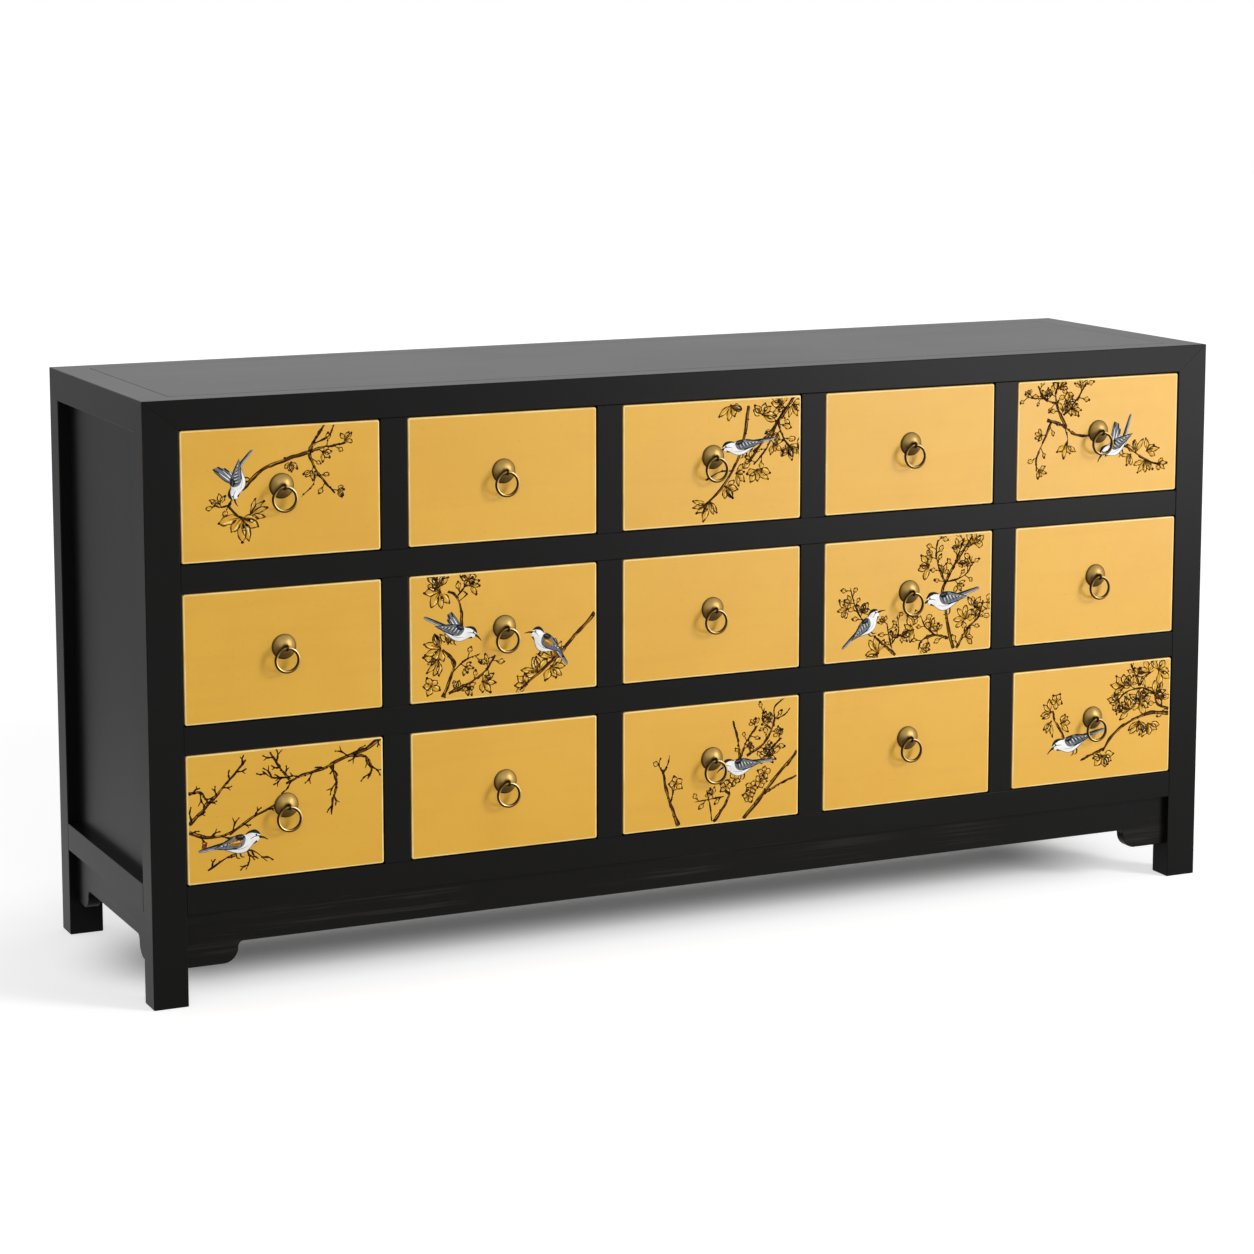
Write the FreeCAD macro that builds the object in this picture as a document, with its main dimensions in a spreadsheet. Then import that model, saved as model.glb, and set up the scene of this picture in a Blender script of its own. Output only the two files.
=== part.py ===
"""A long Chinese drawer cabinet: a black lacquered frame-and-panel carcass on square legs,
fifteen flush drawers in three rows of five, and a domed brass plate with a hanging ring on each.

The front faces -Y, +X is to the right as seen from the front, and +Z is up. The origin is on the
floor under the middle of the whole footprint, rings included.
"""
import FreeCAD
import Part
import Sketcher
import math
import operator
import os
from types import SimpleNamespace

COLUMNS = 5
ROWS = ("top", "middle", "bottom")
LEVELS_ABOVE_FIRST = len(ROWS) - 1
NEAR = 1e-6

SIZES = {
    # the carcass as a whole
    "cabinet_width": 1500,
    "cabinet_depth": 400,
    "cabinet_height": 740,
    # the frame members, as seen from the front and the side
    "post_width": 44,
    "post_depth": 36,
    "top_rail_height": 36,
    "side_top_rail_height": 40,
    "middle_rail_height": 34,
    "bottom_rail_height": 35,
    "leg_height": 114,
    "stile_width": 34,
    "side_rail_thickness": 30,
    # the joints that hold the frame together
    "joint_gap": 0.2,
    "rail_tenon_length": 20,
    "side_tenon_length": 14,
    "stile_tenon_length": 10,
    "tenon_thickness": 10,
    "rail_tenon_shoulder": 9,
    "stile_tenon_shoulder": 10,
    "housing_depth": 6,
    # the panels
    "panel_tongue": 8,
    "side_panel_recess": 14,
    "side_panel_thickness": 8,
    "back_panel_recess": 8,
    "back_panel_thickness": 8,
    "top_panel_thickness": 16,
    "top_tongue_thickness": 6,
    "top_tongue_drop": 5,
    "top_batten_width": 30,
    "top_batten_height": 20,
    "bottom_board_thickness": 6,
    # the aprons with their shaped spandrels
    "apron_setback": 10,
    "apron_thickness": 16,
    "spandrel_drop": 69,
    "spandrel_flat": 48,
    "side_spandrel_flat": 34,
    "spandrel_swell": 19,
    "spandrel_hollow": 7,
    # what the drawers run on
    "runner_height": 20,
    "bearing_width": 16,
    "end_guide_width": 14,
    "guide_height": 18,
    "stop_width": 24,
    "stop_depth": 14,
    "stop_height": 6,
    "stop_spacing": 120,
    # the drawers
    "reveal": 1.5,
    "running_gap": 0.3,
    "front_thickness": 18,
    "front_easing": 1.5,
    "drawer_back_room": 34,
    "side_thickness": 10,
    "side_height": 140,
    "back_thickness": 10,
    "back_drop": 6,
    "bottom_rise": 9,
    "bottom_thickness": 5,
    "groove_depth": 4,
    # the pulls
    "pull_lift": 7,
    "plate_diameter": 31,
    "plate_height": 8,
    "plate_wall": 1.2,
    "pin_wire": 2.2,
    "pin_hole_gap": 0.2,
    "pin_leg_length": 9,
    "ring_diameter": 33,
    "ring_wire": 3.4,
    "eye_gap": 0.3,
}

SIGNS = {"+": operator.add, "-": operator.sub, "*": operator.mul, "/": operator.truediv}


class Size:
    """A length written as a formula in the sheet's cells, kept with its present value."""

    def __init__(self, text, number):
        self.text = text
        self.number = number

    def __add__(self, other):
        return combine(self, "+", other)

    def __radd__(self, other):
        return combine(other, "+", self)

    def __sub__(self, other):
        return combine(self, "-", other)

    def __rsub__(self, other):
        return combine(other, "-", self)

    def __mul__(self, other):
        return combine(self, "*", other)

    def __rmul__(self, other):
        return combine(other, "*", self)

    def __truediv__(self, other):
        return combine(self, "/", other)


def as_size(value):
    """Let a count or a zero stand in a formula beside the named sizes."""
    return value if isinstance(value, Size) else Size(str(value), value)


def combine(left, sign, right):
    left, right = as_size(left), as_size(right)
    return Size(f"({left.text} {sign} {right.text})", SIGNS[sign](left.number, right.number))


doc = FreeCAD.newDocument("drawer_cabinet")
sheet = doc.addObject("Spreadsheet::Sheet", "sizes")
for line, (name, number) in enumerate(SIZES.items(), start=1):
    sheet.set(f"A{line}", name)
    sheet.set(f"B{line}", str(number))
    sheet.setAlias(f"B{line}", name)
doc.recompute()
S = SimpleNamespace(**{name: Size(f"sizes.{name}", number) for name, number in SIZES.items()})
sub_parts = []


def bind(piece, **formulas):
    for place, formula in formulas.items():
        piece.setExpression(place, as_size(formula).text)


def place(piece, corner):
    for axis, formula in zip("xyz", corner):
        piece.setExpression(f"Placement.Base.{axis}", as_size(formula).text)
    return piece


def board(name, corner, size):
    """A rectangular piece of wood with its lowest corner at the given place."""
    box = doc.addObject("Part::Box", name)
    bind(box, Length=size[0], Width=size[1], Height=size[2])
    return place(box, corner)


def grown(corner, size, gap):
    """The room that a board needs: its own box with a gap on every side."""
    room_corner = [low - gap for low in corner]
    room_size = [length + 2 * gap for length in size]
    return room_corner, room_size


def fuse(name, pieces):
    joined = doc.addObject("Part::MultiFuse", name)
    joined.Shapes = pieces
    return joined


def carve(name, piece, rooms):
    """Cut from a piece the room for each thing that is let into it."""
    cutters = [board(f"{name}_room_{i}", corner, size) for i, (corner, size) in enumerate(rooms)]
    result = doc.addObject("Part::Cut", name)
    result.Base = piece
    result.Tool = cutters[0] if len(cutters) == 1 else fuse(f"{name}_rooms", cutters)
    return result


def sub_part(label, pieces):
    """Gather the solids of one node under its own name."""
    group = doc.addObject("Part::Compound", label)
    group.Label = label
    group.Links = pieces
    sub_parts.append(group)
    return group


def tenons(corner, size, along, length, tongue):
    """The two tenons on a bar's ends, where tongue gives the width of their section by axis."""
    corner, size = dict(zip("xyz", corner)), dict(zip("xyz", size))
    ends = []
    for start in (corner[along] - length, corner[along] + size[along]):
        tenon_corner = corner | {along: start}
        tenon_size = size | tongue | {along: length}
        for across, width in tongue.items():
            tenon_corner[across] = corner[across] + (size[across] - width) / 2
        ends.append((list(tenon_corner.values()), list(tenon_size.values())))
    return ends


def tenoned_bar(name, corner, size, ends):
    """A straight bar with its tenons in one piece of wood."""
    pieces = [board(f"{name}_bar", corner, size)]
    pieces += [board(f"{name}_tenon_{i}", *end) for i, end in enumerate(ends)]
    return fuse(name, pieces)


def arc_through(start, end, radius, turn):
    """The short arc from start to end whose centre lies on the left (turn 1) or right (-1)."""
    chord = end - start
    rise = math.sqrt(radius ** 2 - (chord.Length / 2) ** 2)
    left = FreeCAD.Vector(-chord.y, chord.x, 0).normalize()
    centre = (start + end) * 0.5 + left * (rise * turn)
    first, last = (start, end) if turn > 0 else (end, start)
    begin = math.atan2(first.y - centre.y, first.x - centre.x)
    finish = math.atan2(last.y - centre.y, last.x - centre.x)
    circle = Part.Circle(centre, FreeCAD.Vector(0, 0, 1), radius)
    return Part.ArcOfCircle(circle, begin, finish)


def draw(body, plane, corners):
    """Sketch a closed outline on one of the body's planes.

    A corner is (across, up), or (across, up, radius, turn) where an arc leaves it.
    """
    sketch = body.newObject("Sketcher::SketchObject", f"{body.Name}_outline")
    planes = [p for p in body.Origin.OriginFeatures if p.Role == f"{plane}_Plane"]
    sketch.AttachmentSupport = (planes[0], "")
    sketch.MapMode = "FlatFace"
    points = [FreeCAD.Vector(as_size(c[0]).number, as_size(c[1]).number, 0) for c in corners]
    ends = []
    for i, corner in enumerate(corners):
        start, end = points[i], points[(i + 1) % len(points)]
        if len(corner) == 2:
            sketch.addGeometry(Part.LineSegment(start, end))
            ends.append((1, 2))
        else:
            sketch.addGeometry(arc_through(start, end, corner[2].number, corner[3]))
            ends.append((1, 2) if corner[3] > 0 else (2, 1))
    for i, corner in enumerate(corners):
        following = (i + 1) % len(corners)
        meet = Sketcher.Constraint("Coincident", i, ends[i][1], following, ends[following][0])
        sketch.addConstraint(meet)
    for i, corner in enumerate(corners):
        for kind, axis, length in (("DistanceX", -2, corner[0]), ("DistanceY", -1, corner[1])):
            if as_size(length).number == 0:
                sketch.addConstraint(Sketcher.Constraint("PointOnObject", i, ends[i][0], axis))
            else:
                distance = Sketcher.Constraint(kind, -1, 1, i, ends[i][0], length.number)
                spot = sketch.addConstraint(distance)
                sketch.setExpression(f"Constraints[{spot}]", length.text)
        if len(corner) > 2:
            spot = sketch.addConstraint(Sketcher.Constraint("Radius", i, corner[2].number))
            sketch.setExpression(f"Constraints[{spot}]", corner[2].text)
    return sketch


def prism(name, plane, corners, corner, thickness):
    """A piece sawn to an outline: a padded sketch that grows along +X, +Y or +Z from its corner."""
    body = doc.addObject("PartDesign::Body", name)
    pad = body.newObject("PartDesign::Pad", f"{name}_pad")
    pad.Profile = draw(body, plane, corners)
    pad.Reversed = plane == "XZ"
    bind(pad, Length=thickness)
    place(body, corner)
    return body


def shaped_both_ways(name, one, other):
    common = doc.addObject("Part::Common", name)
    common.Base = one
    common.Tool = other
    return common


# the frame's own planes and the places of the drawer openings
eye_radius = S.ring_wire / 2 + S.eye_gap + S.pin_wire / 2
eye_reach = S.plate_height + eye_radius + S.pin_wire / 2
pull_reach = eye_reach + eye_radius + S.pin_wire / 2
left, right = 0 - S.cabinet_width / 2, S.cabinet_width / 2
front = (pull_reach - S.cabinet_depth) / 2
back = front + S.cabinet_depth
top = S.cabinet_height
inner_left, inner_right = left + S.post_width, right - S.post_width
inner_front, inner_back = front + S.post_depth, back - S.post_depth
inner_width = inner_right - inner_left
inner_depth = inner_back - inner_front
lowest_sill = S.leg_height + S.bottom_rail_height
opening_width = (inner_width - (COLUMNS - 1) * S.stile_width) / COLUMNS
rails_and_openings = top - S.top_rail_height - lowest_sill
opening_height = (rails_and_openings - LEVELS_ABOVE_FIRST * S.middle_rail_height) / len(ROWS)
rear_rail_depth = S.post_depth - S.back_panel_recess - S.back_panel_thickness


def sill(row):
    return lowest_sill + (LEVELS_ABOVE_FIRST - row) * (opening_height + S.middle_rail_height)


def opening_left(column):
    return inner_left + column * (opening_width + S.stile_width)


def rail_height(row):
    return S.bottom_rail_height if row == LEVELS_ABOVE_FIRST else S.middle_rail_height


# panels, which float in grooves of the frame around them
side_panel_size = (
    S.side_panel_thickness,
    inner_depth + 2 * S.panel_tongue,
    top - S.side_top_rail_height - lowest_sill + 2 * S.panel_tongue,
)
side_panel_low = (inner_front - S.panel_tongue, lowest_sill - S.panel_tongue)
side_panel_corners = (
    (left + S.side_panel_recess, *side_panel_low),
    (right - S.side_panel_recess - S.side_panel_thickness, *side_panel_low),
)
side_panels = [board(f"side_panel_{i}", corner, side_panel_size)
               for i, corner in enumerate(side_panel_corners)]
side_panel_rooms = [grown(corner, side_panel_size, S.joint_gap) for corner in side_panel_corners]
sub_part("side_panels", side_panels)

back_panel_corner = (inner_left - S.panel_tongue, inner_back + rear_rail_depth, S.leg_height)
back_panel_size = (
    inner_width + 2 * S.panel_tongue,
    S.back_panel_thickness,
    top - S.top_rail_height - S.leg_height + S.panel_tongue,
)
back_panel_room = grown(back_panel_corner, back_panel_size, S.joint_gap)
sub_part("back_panel", [board("back_board", back_panel_corner, back_panel_size)])

top_tongue_corner = (
    inner_left - S.panel_tongue,
    inner_front - S.panel_tongue,
    top - S.top_tongue_drop - S.top_tongue_thickness,
)
top_tongue_size = (
    inner_width + 2 * S.panel_tongue,
    inner_depth + 2 * S.panel_tongue,
    S.top_tongue_thickness,
)
top_tongue_room = grown(top_tongue_corner, top_tongue_size, S.joint_gap)
top_underside = top - S.top_panel_thickness
top_field = board("top_field", (inner_left, inner_front, top_underside),
                  (inner_width, inner_depth, S.top_panel_thickness))
top_tongue = board("top_tongue", top_tongue_corner, top_tongue_size)
sub_part("top_panel", [fuse("top_board", [top_field, top_tongue])])

batten_size = (S.top_batten_width, inner_depth, S.top_batten_height)
battens = []
for column in range(1, COLUMNS):
    batten_left = opening_left(column) - (S.stile_width + S.top_batten_width) / 2
    batten_corner = (batten_left, inner_front, top_underside - S.top_batten_height)
    battens.append(board(f"top_batten_{column}", batten_corner, batten_size))
sub_part("top_battens", battens)

bottom_board_top = lowest_sill - S.runner_height
bottom_board_corner = (
    left + S.side_rail_thickness,
    inner_front,
    bottom_board_top - S.bottom_board_thickness,
)
bottom_board_size = (
    S.cabinet_width - 2 * S.side_rail_thickness,
    inner_depth,
    S.bottom_board_thickness,
)
sub_part("bottom_board", [board("dust_board", bottom_board_corner, bottom_board_size)])

# upright stiles between the drawers, tenoned into the rails above and below
stile_size = (S.stile_width, S.post_depth, opening_height)
stile_tongue = {"x": S.stile_width - 2 * S.stile_tenon_shoulder, "y": S.tenon_thickness}
stiles = []
stile_rooms = []
for row in range(len(ROWS)):
    for column in range(1, COLUMNS):
        stile_corner = (opening_left(column) - S.stile_width, front, sill(row))
        stile_ends = tenons(stile_corner, stile_size, "z", S.stile_tenon_length, stile_tongue)
        stiles.append(tenoned_bar(f"stile_{row}_{column}", stile_corner, stile_size, stile_ends))
        stile_rooms.append((row, [grown(*end, S.joint_gap) for end in stile_ends]))
sub_part("front_stiles", stiles)


def stile_mortises(level):
    """Mortises in the rail under row number level: from its own stiles and those of the row below."""
    lower_ends = [rooms[0] for row, rooms in stile_rooms if row == level]
    upper_ends = [rooms[1] for row, rooms in stile_rooms if row == level + 1]
    return lower_ends + upper_ends


# long rails under each row of drawers, at the front and at the back
front_rails = []
rear_rails = []
front_rail_rooms = []
rear_rail_rooms = []
for row in range(len(ROWS)):
    height = rail_height(row)
    rail_tongue = {"y": S.tenon_thickness, "z": height - 2 * S.rail_tenon_shoulder}
    under = sill(row) - height
    for name, near, depth, rails, rooms in (
        ("front_rail", front, S.post_depth, front_rails, front_rail_rooms),
        ("rear_rail", inner_back, rear_rail_depth, rear_rails, rear_rail_rooms),
    ):
        corner, size = (inner_left, near, under), (inner_width, depth, height)
        rail_ends = tenons(corner, size, "x", S.rail_tenon_length, rail_tongue)
        rail = tenoned_bar(f"{name}_{row}_blank", corner, size, rail_ends)
        rooms += [grown(*end, S.joint_gap) for end in rail_ends]
        is_front = name == "front_rail"
        rails.append(carve(f"{name}_{row}", rail, stile_mortises(row)) if is_front else rail)
sub_part("front_rails", front_rails)
sub_part("rear_rails", rear_rails)

# short rails under the side panels
side_rail_size = (S.side_rail_thickness, inner_depth, S.bottom_rail_height)
side_rail_tongue = {
    "x": S.tenon_thickness,
    "z": S.bottom_rail_height - 2 * S.rail_tenon_shoulder,
}
side_rails = []
side_rail_rooms = []
for side, outer in enumerate((left, right - S.side_rail_thickness)):
    corner = (outer, inner_front, S.leg_height)
    side_ends = tenons(corner, side_rail_size, "y", S.side_tenon_length, side_rail_tongue)
    blank = tenoned_bar(f"side_rail_{side}_blank", corner, side_rail_size, side_ends)
    side_rails.append(carve(f"side_rail_{side}", blank, [side_panel_rooms[side]]))
    side_rail_rooms += [grown(*end, S.joint_gap) for end in side_ends]
sub_part("side_rails", side_rails)

# aprons that hang under the rails, ending in a spandrel against each leg
apron_low = S.leg_height - S.spandrel_drop
apron_rooms = []


def apron(name, plane, length, flat, corner):
    """A board with an ogee at each end: a swelling quarter round, then a hollow one."""
    foot = S.housing_depth + flat
    knee, lift = foot + S.spandrel_swell, S.spandrel_swell
    crown = knee + S.spandrel_hollow
    edge = lift + S.spandrel_hollow
    outline = [
        (0, 0),
        (foot, 0, S.spandrel_swell, 1),
        (knee, lift, S.spandrel_hollow, -1),
        (crown, edge),
        (length - crown, edge, S.spandrel_hollow, -1),
        (length - knee, lift, S.spandrel_swell, 1),
        (length - foot, 0),
        (length, 0),
        (length, S.spandrel_drop),
        (0, S.spandrel_drop),
    ]
    along = 0 if plane == "XZ" else 1
    for end in (corner[along], corner[along] + length - S.housing_depth):
        end_corner = list(corner)
        end_corner[along] = end
        end_size = [S.apron_thickness, S.apron_thickness, S.spandrel_drop]
        end_size[along] = S.housing_depth
        apron_rooms.append(grown(end_corner, end_size, S.joint_gap))
    return prism(name, plane, outline, corner, S.apron_thickness)


long_aprons = []
long_apron_length = inner_width + 2 * S.housing_depth
for name, near in (
    ("front_apron", front + S.apron_setback),
    ("rear_apron", back - S.apron_setback - S.apron_thickness),
):
    corner = (inner_left - S.housing_depth, near, apron_low)
    long_aprons.append(apron(name, "XZ", long_apron_length, S.spandrel_flat, corner))
sub_part("long_aprons", long_aprons)

side_aprons = []
side_apron_length = inner_depth + 2 * S.housing_depth
for name, outer in (
    ("left_apron", left + S.apron_setback),
    ("right_apron", right - S.apron_setback - S.apron_thickness),
):
    corner = (outer, inner_front - S.housing_depth, apron_low)
    side_aprons.append(apron(name, "YZ", side_apron_length, S.side_spandrel_flat, corner))
sub_part("side_aprons", side_aprons)

# the flush top frame: rails and posts meet in a three-way mitre at each corner
width, depth = S.cabinet_width, S.cabinet_depth
rail_low = top - S.top_rail_height
long_elevation = [
    (S.post_width, 0),
    (width - S.post_width, 0),
    (width, S.top_rail_height),
    (0, S.top_rail_height),
]
top_rails = []
for name, near, outer_edge, inner_edge, rooms in (
    ("top_front_rail", front, 0, S.post_depth, [top_tongue_room] + stile_mortises(-1)),
    ("top_rear_rail", inner_back, S.post_depth, 0, [top_tongue_room, back_panel_room]),
):
    plan = [
        (0, outer_edge),
        (width, outer_edge),
        (width - S.post_width, inner_edge),
        (S.post_width, inner_edge),
    ]
    corner = (left, near, rail_low)
    blank = shaped_both_ways(
        f"{name}_blank",
        prism(f"{name}_elevation", "XZ", long_elevation, corner, S.post_depth),
        prism(f"{name}_plan", "XY", plan, corner, S.top_rail_height),
    )
    top_rails.append(carve(name, blank, rooms))

side_low = top - S.side_top_rail_height
side_step = S.side_top_rail_height - S.top_rail_height
side_elevation = [
    (S.post_depth, 0),
    (depth - S.post_depth, 0),
    (depth - S.post_depth, side_step),
    (depth, S.side_top_rail_height),
    (0, S.side_top_rail_height),
    (S.post_depth, side_step),
]
for side, (name, near, outer_edge, inner_edge) in enumerate((
    ("top_left_rail", left, 0, S.post_width),
    ("top_right_rail", inner_right, S.post_width, 0),
)):
    plan = [
        (outer_edge, 0),
        (inner_edge, S.post_depth),
        (inner_edge, depth - S.post_depth),
        (outer_edge, depth),
    ]
    corner = (near, front, side_low)
    blank = shaped_both_ways(
        f"{name}_blank",
        prism(f"{name}_elevation", "YZ", side_elevation, corner, S.post_width),
        prism(f"{name}_plan", "XY", plan, corner, S.side_top_rail_height),
    )
    top_rails.append(carve(name, blank, [top_tongue_room, side_panel_rooms[side]]))
sub_part("top_rails", top_rails)

# corner posts, from the floor up into the top frame
posts = []
for end, (near, front_edge_top, back_edge_top) in enumerate((
    (front, top, rail_low),
    (inner_back, rail_low, top),
)):
    side_outline = [(0, 0), (S.post_depth, 0), (S.post_depth, back_edge_top), (0, front_edge_top)]
    for side, (outer, left_edge_top, right_edge_top) in enumerate((
        (left, top, rail_low),
        (inner_right, rail_low, top),
    )):
        name = f"post_{end}_{side}"
        front_outline = [
            (0, 0),
            (S.post_width, 0),
            (S.post_width, right_edge_top),
            (0, left_edge_top),
        ]
        corner = (outer, near, 0)
        blank = shaped_both_ways(
            f"{name}_blank",
            prism(f"{name}_front", "XZ", front_outline, corner, S.post_depth),
            prism(f"{name}_side", "YZ", side_outline, corner, S.post_width),
        )
        rooms = [side_panel_rooms[side], side_rail_rooms[2 * side + end]]
        rooms += [back_panel_room] if end else []
        rooms += (rear_rail_rooms if end else front_rail_rooms)[side::2]
        rooms += [apron_rooms[2 * end + side], apron_rooms[2 * len(long_aprons) + 2 * side + end]]
        posts.append(carve(name, blank, rooms))
sub_part("corner_posts", posts)

# runners that carry the drawers, guides that keep them straight, and stops behind the fronts
runners = []
stops = []
for row in range(len(ROWS)):
    runner_low = sill(row) - S.runner_height
    for column in range(COLUMNS + 1):
        low_bearing = S.bearing_width if column > 0 else 0
        high_bearing = S.bearing_width if column < COLUMNS else 0
        inside = 0 < column < COLUMNS
        guide_width = S.stile_width if inside else S.end_guide_width
        guide_left = opening_left(column) - S.stile_width if column else inner_left - guide_width
        runner_size = (guide_width + low_bearing + high_bearing, inner_depth, S.runner_height)
        guide_size = (guide_width, inner_depth, S.guide_height)
        runner_corner = (guide_left - low_bearing, inner_front, runner_low)
        guide_corner = (guide_left, inner_front, sill(row))
        runners.append(board(f"runner_{row}_{column}", runner_corner, runner_size))
        runners.append(board(f"guide_{row}_{column}", guide_corner, guide_size))
    for column in range(COLUMNS):
        middle = opening_left(column) + (opening_width - S.stop_width) / 2
        stop_front = front + S.front_thickness + S.running_gap
        for hand, aside in enumerate((0 - S.stop_spacing / 2, S.stop_spacing / 2)):
            stop_corner = (middle + aside, stop_front, sill(row))
            stop_size = (S.stop_width, S.stop_depth, S.stop_height)
            stops.append(board(f"stop_{row}_{column}_{hand}", stop_corner, stop_size))
sub_part("drawer_runners", runners)
sub_part("drawer_stops", stops)

# one drawer, measured from the middle of its sill on the front plane
front_width = opening_width - 2 * S.reveal
front_height = opening_height - 2 * S.reveal
drawer_left = 0 - front_width / 2
pull_height = S.reveal + front_height / 2 + S.pull_lift
drawer_length = S.cabinet_depth - S.post_depth - S.drawer_back_room
side_length = drawer_length - S.front_thickness
bottom_low = S.running_gap + S.bottom_rise
between_sides = front_width - 2 * S.side_thickness

drawer_bottom_corner = (
    drawer_left + S.side_thickness - S.groove_depth,
    S.front_thickness - S.groove_depth,
    bottom_low,
)
drawer_bottom_size = (
    between_sides + 2 * S.groove_depth,
    side_length + S.groove_depth,
    S.bottom_thickness,
)
bottom_room = grown(drawer_bottom_corner, drawer_bottom_size, S.joint_gap)
drawer_bottom = board("drawer_bottom", drawer_bottom_corner, drawer_bottom_size)

front_outline = [(0, 0), (front_width, 0), (front_width, front_height), (0, front_height)]
front_board = prism("front_board", "XZ", front_outline, (drawer_left, 0, S.reveal),
                    S.front_thickness)
doc.recompute()
front_pad = front_board.Tip
front_edges = [f"Edge{i}" for i, edge in enumerate(front_pad.Shape.Edges, start=1)
               if max(abs(edge.BoundBox.YMin), abs(edge.BoundBox.YMax)) < NEAR]
easing = front_board.newObject("PartDesign::Fillet", "front_board_easing")
easing.Base = (front_pad, front_edges)
bind(easing, Radius=S.front_easing)
grooved_front = carve("grooved_front", front_board, [bottom_room])

pin_hole = doc.addObject("Part::Cylinder", "pin_hole")
bind(pin_hole, Radius=S.pin_wire / 2 + S.pin_hole_gap, Height=S.front_thickness)
pin_hole.Placement.Rotation = FreeCAD.Rotation(FreeCAD.Vector(1, 0, 0), 90)
place(pin_hole, (0, S.front_thickness, pull_height))
drawer_front = doc.addObject("Part::Cut", "drawer_front")
drawer_front.Base = grooved_front
drawer_front.Tool = pin_hole

drawer_sides = []
for hand, near in enumerate((drawer_left, 0 - drawer_left - S.side_thickness)):
    blank = board(f"drawer_side_{hand}_blank", (near, S.front_thickness, S.running_gap),
                  (S.side_thickness, side_length, S.side_height))
    drawer_sides.append(carve(f"drawer_side_{hand}", blank, [bottom_room]))
drawer_back = board(
    "drawer_back",
    (drawer_left + S.side_thickness, drawer_length - S.back_thickness,
     bottom_low + S.bottom_thickness),
    (between_sides, S.back_thickness,
     S.side_height - S.bottom_rise - S.bottom_thickness - S.back_drop),
)
drawer_pieces = [drawer_front, *drawer_sides, drawer_back, drawer_bottom]

# one pull, measured from the middle of its plate on the drawer's face
hole_radius = S.pin_wire / 2 + S.pin_hole_gap
rim_radius = S.plate_diameter / 2
inner_rim, inner_height = rim_radius - S.plate_wall, S.plate_height - S.plate_wall


def cap_radius(reach, rise):
    """The radius of the arc that climbs by rise over reach and ends level."""
    return (reach * reach + rise * rise) / (2 * rise)


plate = doc.addObject("PartDesign::Body", "plate")
dome = plate.newObject("PartDesign::Revolution", "plate_dome")
dome_outline = draw(plate, "XY", [
    (rim_radius, 0, cap_radius(rim_radius - hole_radius, S.plate_height), 1),
    (hole_radius, S.plate_height),
    (hole_radius, inner_height, cap_radius(inner_rim - hole_radius, inner_height), -1),
    (inner_rim, 0),
])
dome.Profile = dome_outline
dome.ReferenceAxis = (dome_outline, ["V_Axis"])
plate.Placement.Rotation = FreeCAD.Rotation(FreeCAD.Vector(0, 0, 1), 180)

eye = doc.addObject("Part::Torus", "pin_eye")
bind(eye, Radius1=eye_radius, Radius2=S.pin_wire / 2)
eye.Placement.Rotation = FreeCAD.Rotation(FreeCAD.Vector(0, 1, 0), 90)
place(eye, (0, 0 - eye_reach, 0))
leg_thickness = S.pin_wire / 2
shank_start = 0 - eye_reach + eye_radius
shank = doc.addObject("Part::Cylinder", "pin_shank")
bind(shank, Radius=S.pin_wire / 2, Height=S.front_thickness + leg_thickness - shank_start)
shank.Placement.Rotation = FreeCAD.Rotation(FreeCAD.Vector(1, 0, 0), 90)
place(shank, (0, S.front_thickness + leg_thickness, 0))
legs = board("pin_legs", (0 - S.pin_wire / 2, S.front_thickness, 0 - S.pin_leg_length),
             (S.pin_wire, leg_thickness, 2 * S.pin_leg_length))
split_pin = fuse("split_pin", [eye, shank, legs])

# every drawer with its plate, pin and ring
ring_radius = (S.ring_diameter - S.ring_wire) / 2
for row, row_name in enumerate(ROWS):
    for column in range(COLUMNS):
        tag = f"{row_name}_{column + 1}"
        middle = opening_left(column) + opening_width / 2
        pull_middle = sill(row) + pull_height
        place(sub_part(f"drawer_{tag}", drawer_pieces), (middle, front, sill(row)))
        place(sub_part(f"pull_plate_{tag}", [plate, split_pin]), (middle, front, pull_middle))
        ring = doc.addObject("Part::Torus", f"ring_{tag}")
        ring.Label = f"ring_{tag}"
        bind(ring, Radius1=ring_radius, Radius2=S.ring_wire / 2)
        ring.Placement.Rotation = FreeCAD.Rotation(FreeCAD.Vector(1, 0, 0), 90)
        place(ring, (middle, front - eye_reach, pull_middle - ring_radius))
        sub_parts.append(ring)

doc.recompute()
failed = [piece.Name for piece in doc.Objects if {"Invalid", "Error"} & set(piece.State)]
if failed:
    raise RuntimeError(f"these did not build: {failed}")
for piece in sub_parts:
    if piece.Shape.isNull() or not piece.Shape.isValid():
        raise RuntimeError(f"{piece.Label} has no sound shape")

os.makedirs("parts", exist_ok=True)
for piece in sub_parts:
    piece.Shape.exportStep(f"parts/{piece.Label}.step")
    print(f"{piece.Label}: {len(piece.Shape.Solids)} solids, {piece.Shape.Volume:.0f} mm3")
whole = Part.makeCompound([piece.Shape for piece in sub_parts]).BoundBox
print(f"whole: x {whole.XMin:.2f} to {whole.XMax:.2f}, y {whole.YMin:.2f} to {whole.YMax:.2f}, "
      f"z {whole.ZMin:.2f} to {whole.ZMax:.2f}")
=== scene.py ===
# %% [markdown]
# # Dressing a painted drawer cabinet
# The cabinet is a black lacquered frame with fifteen mustard drawers, eight of them painted with
# birds and blossom. Its measured model is loaded first, because every surface made below has to sit
# on the bodies that slide and swing in it. Lengths are in metres, +Z is up and the front faces -Y.

# %% Load the measured cabinet
import math

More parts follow.
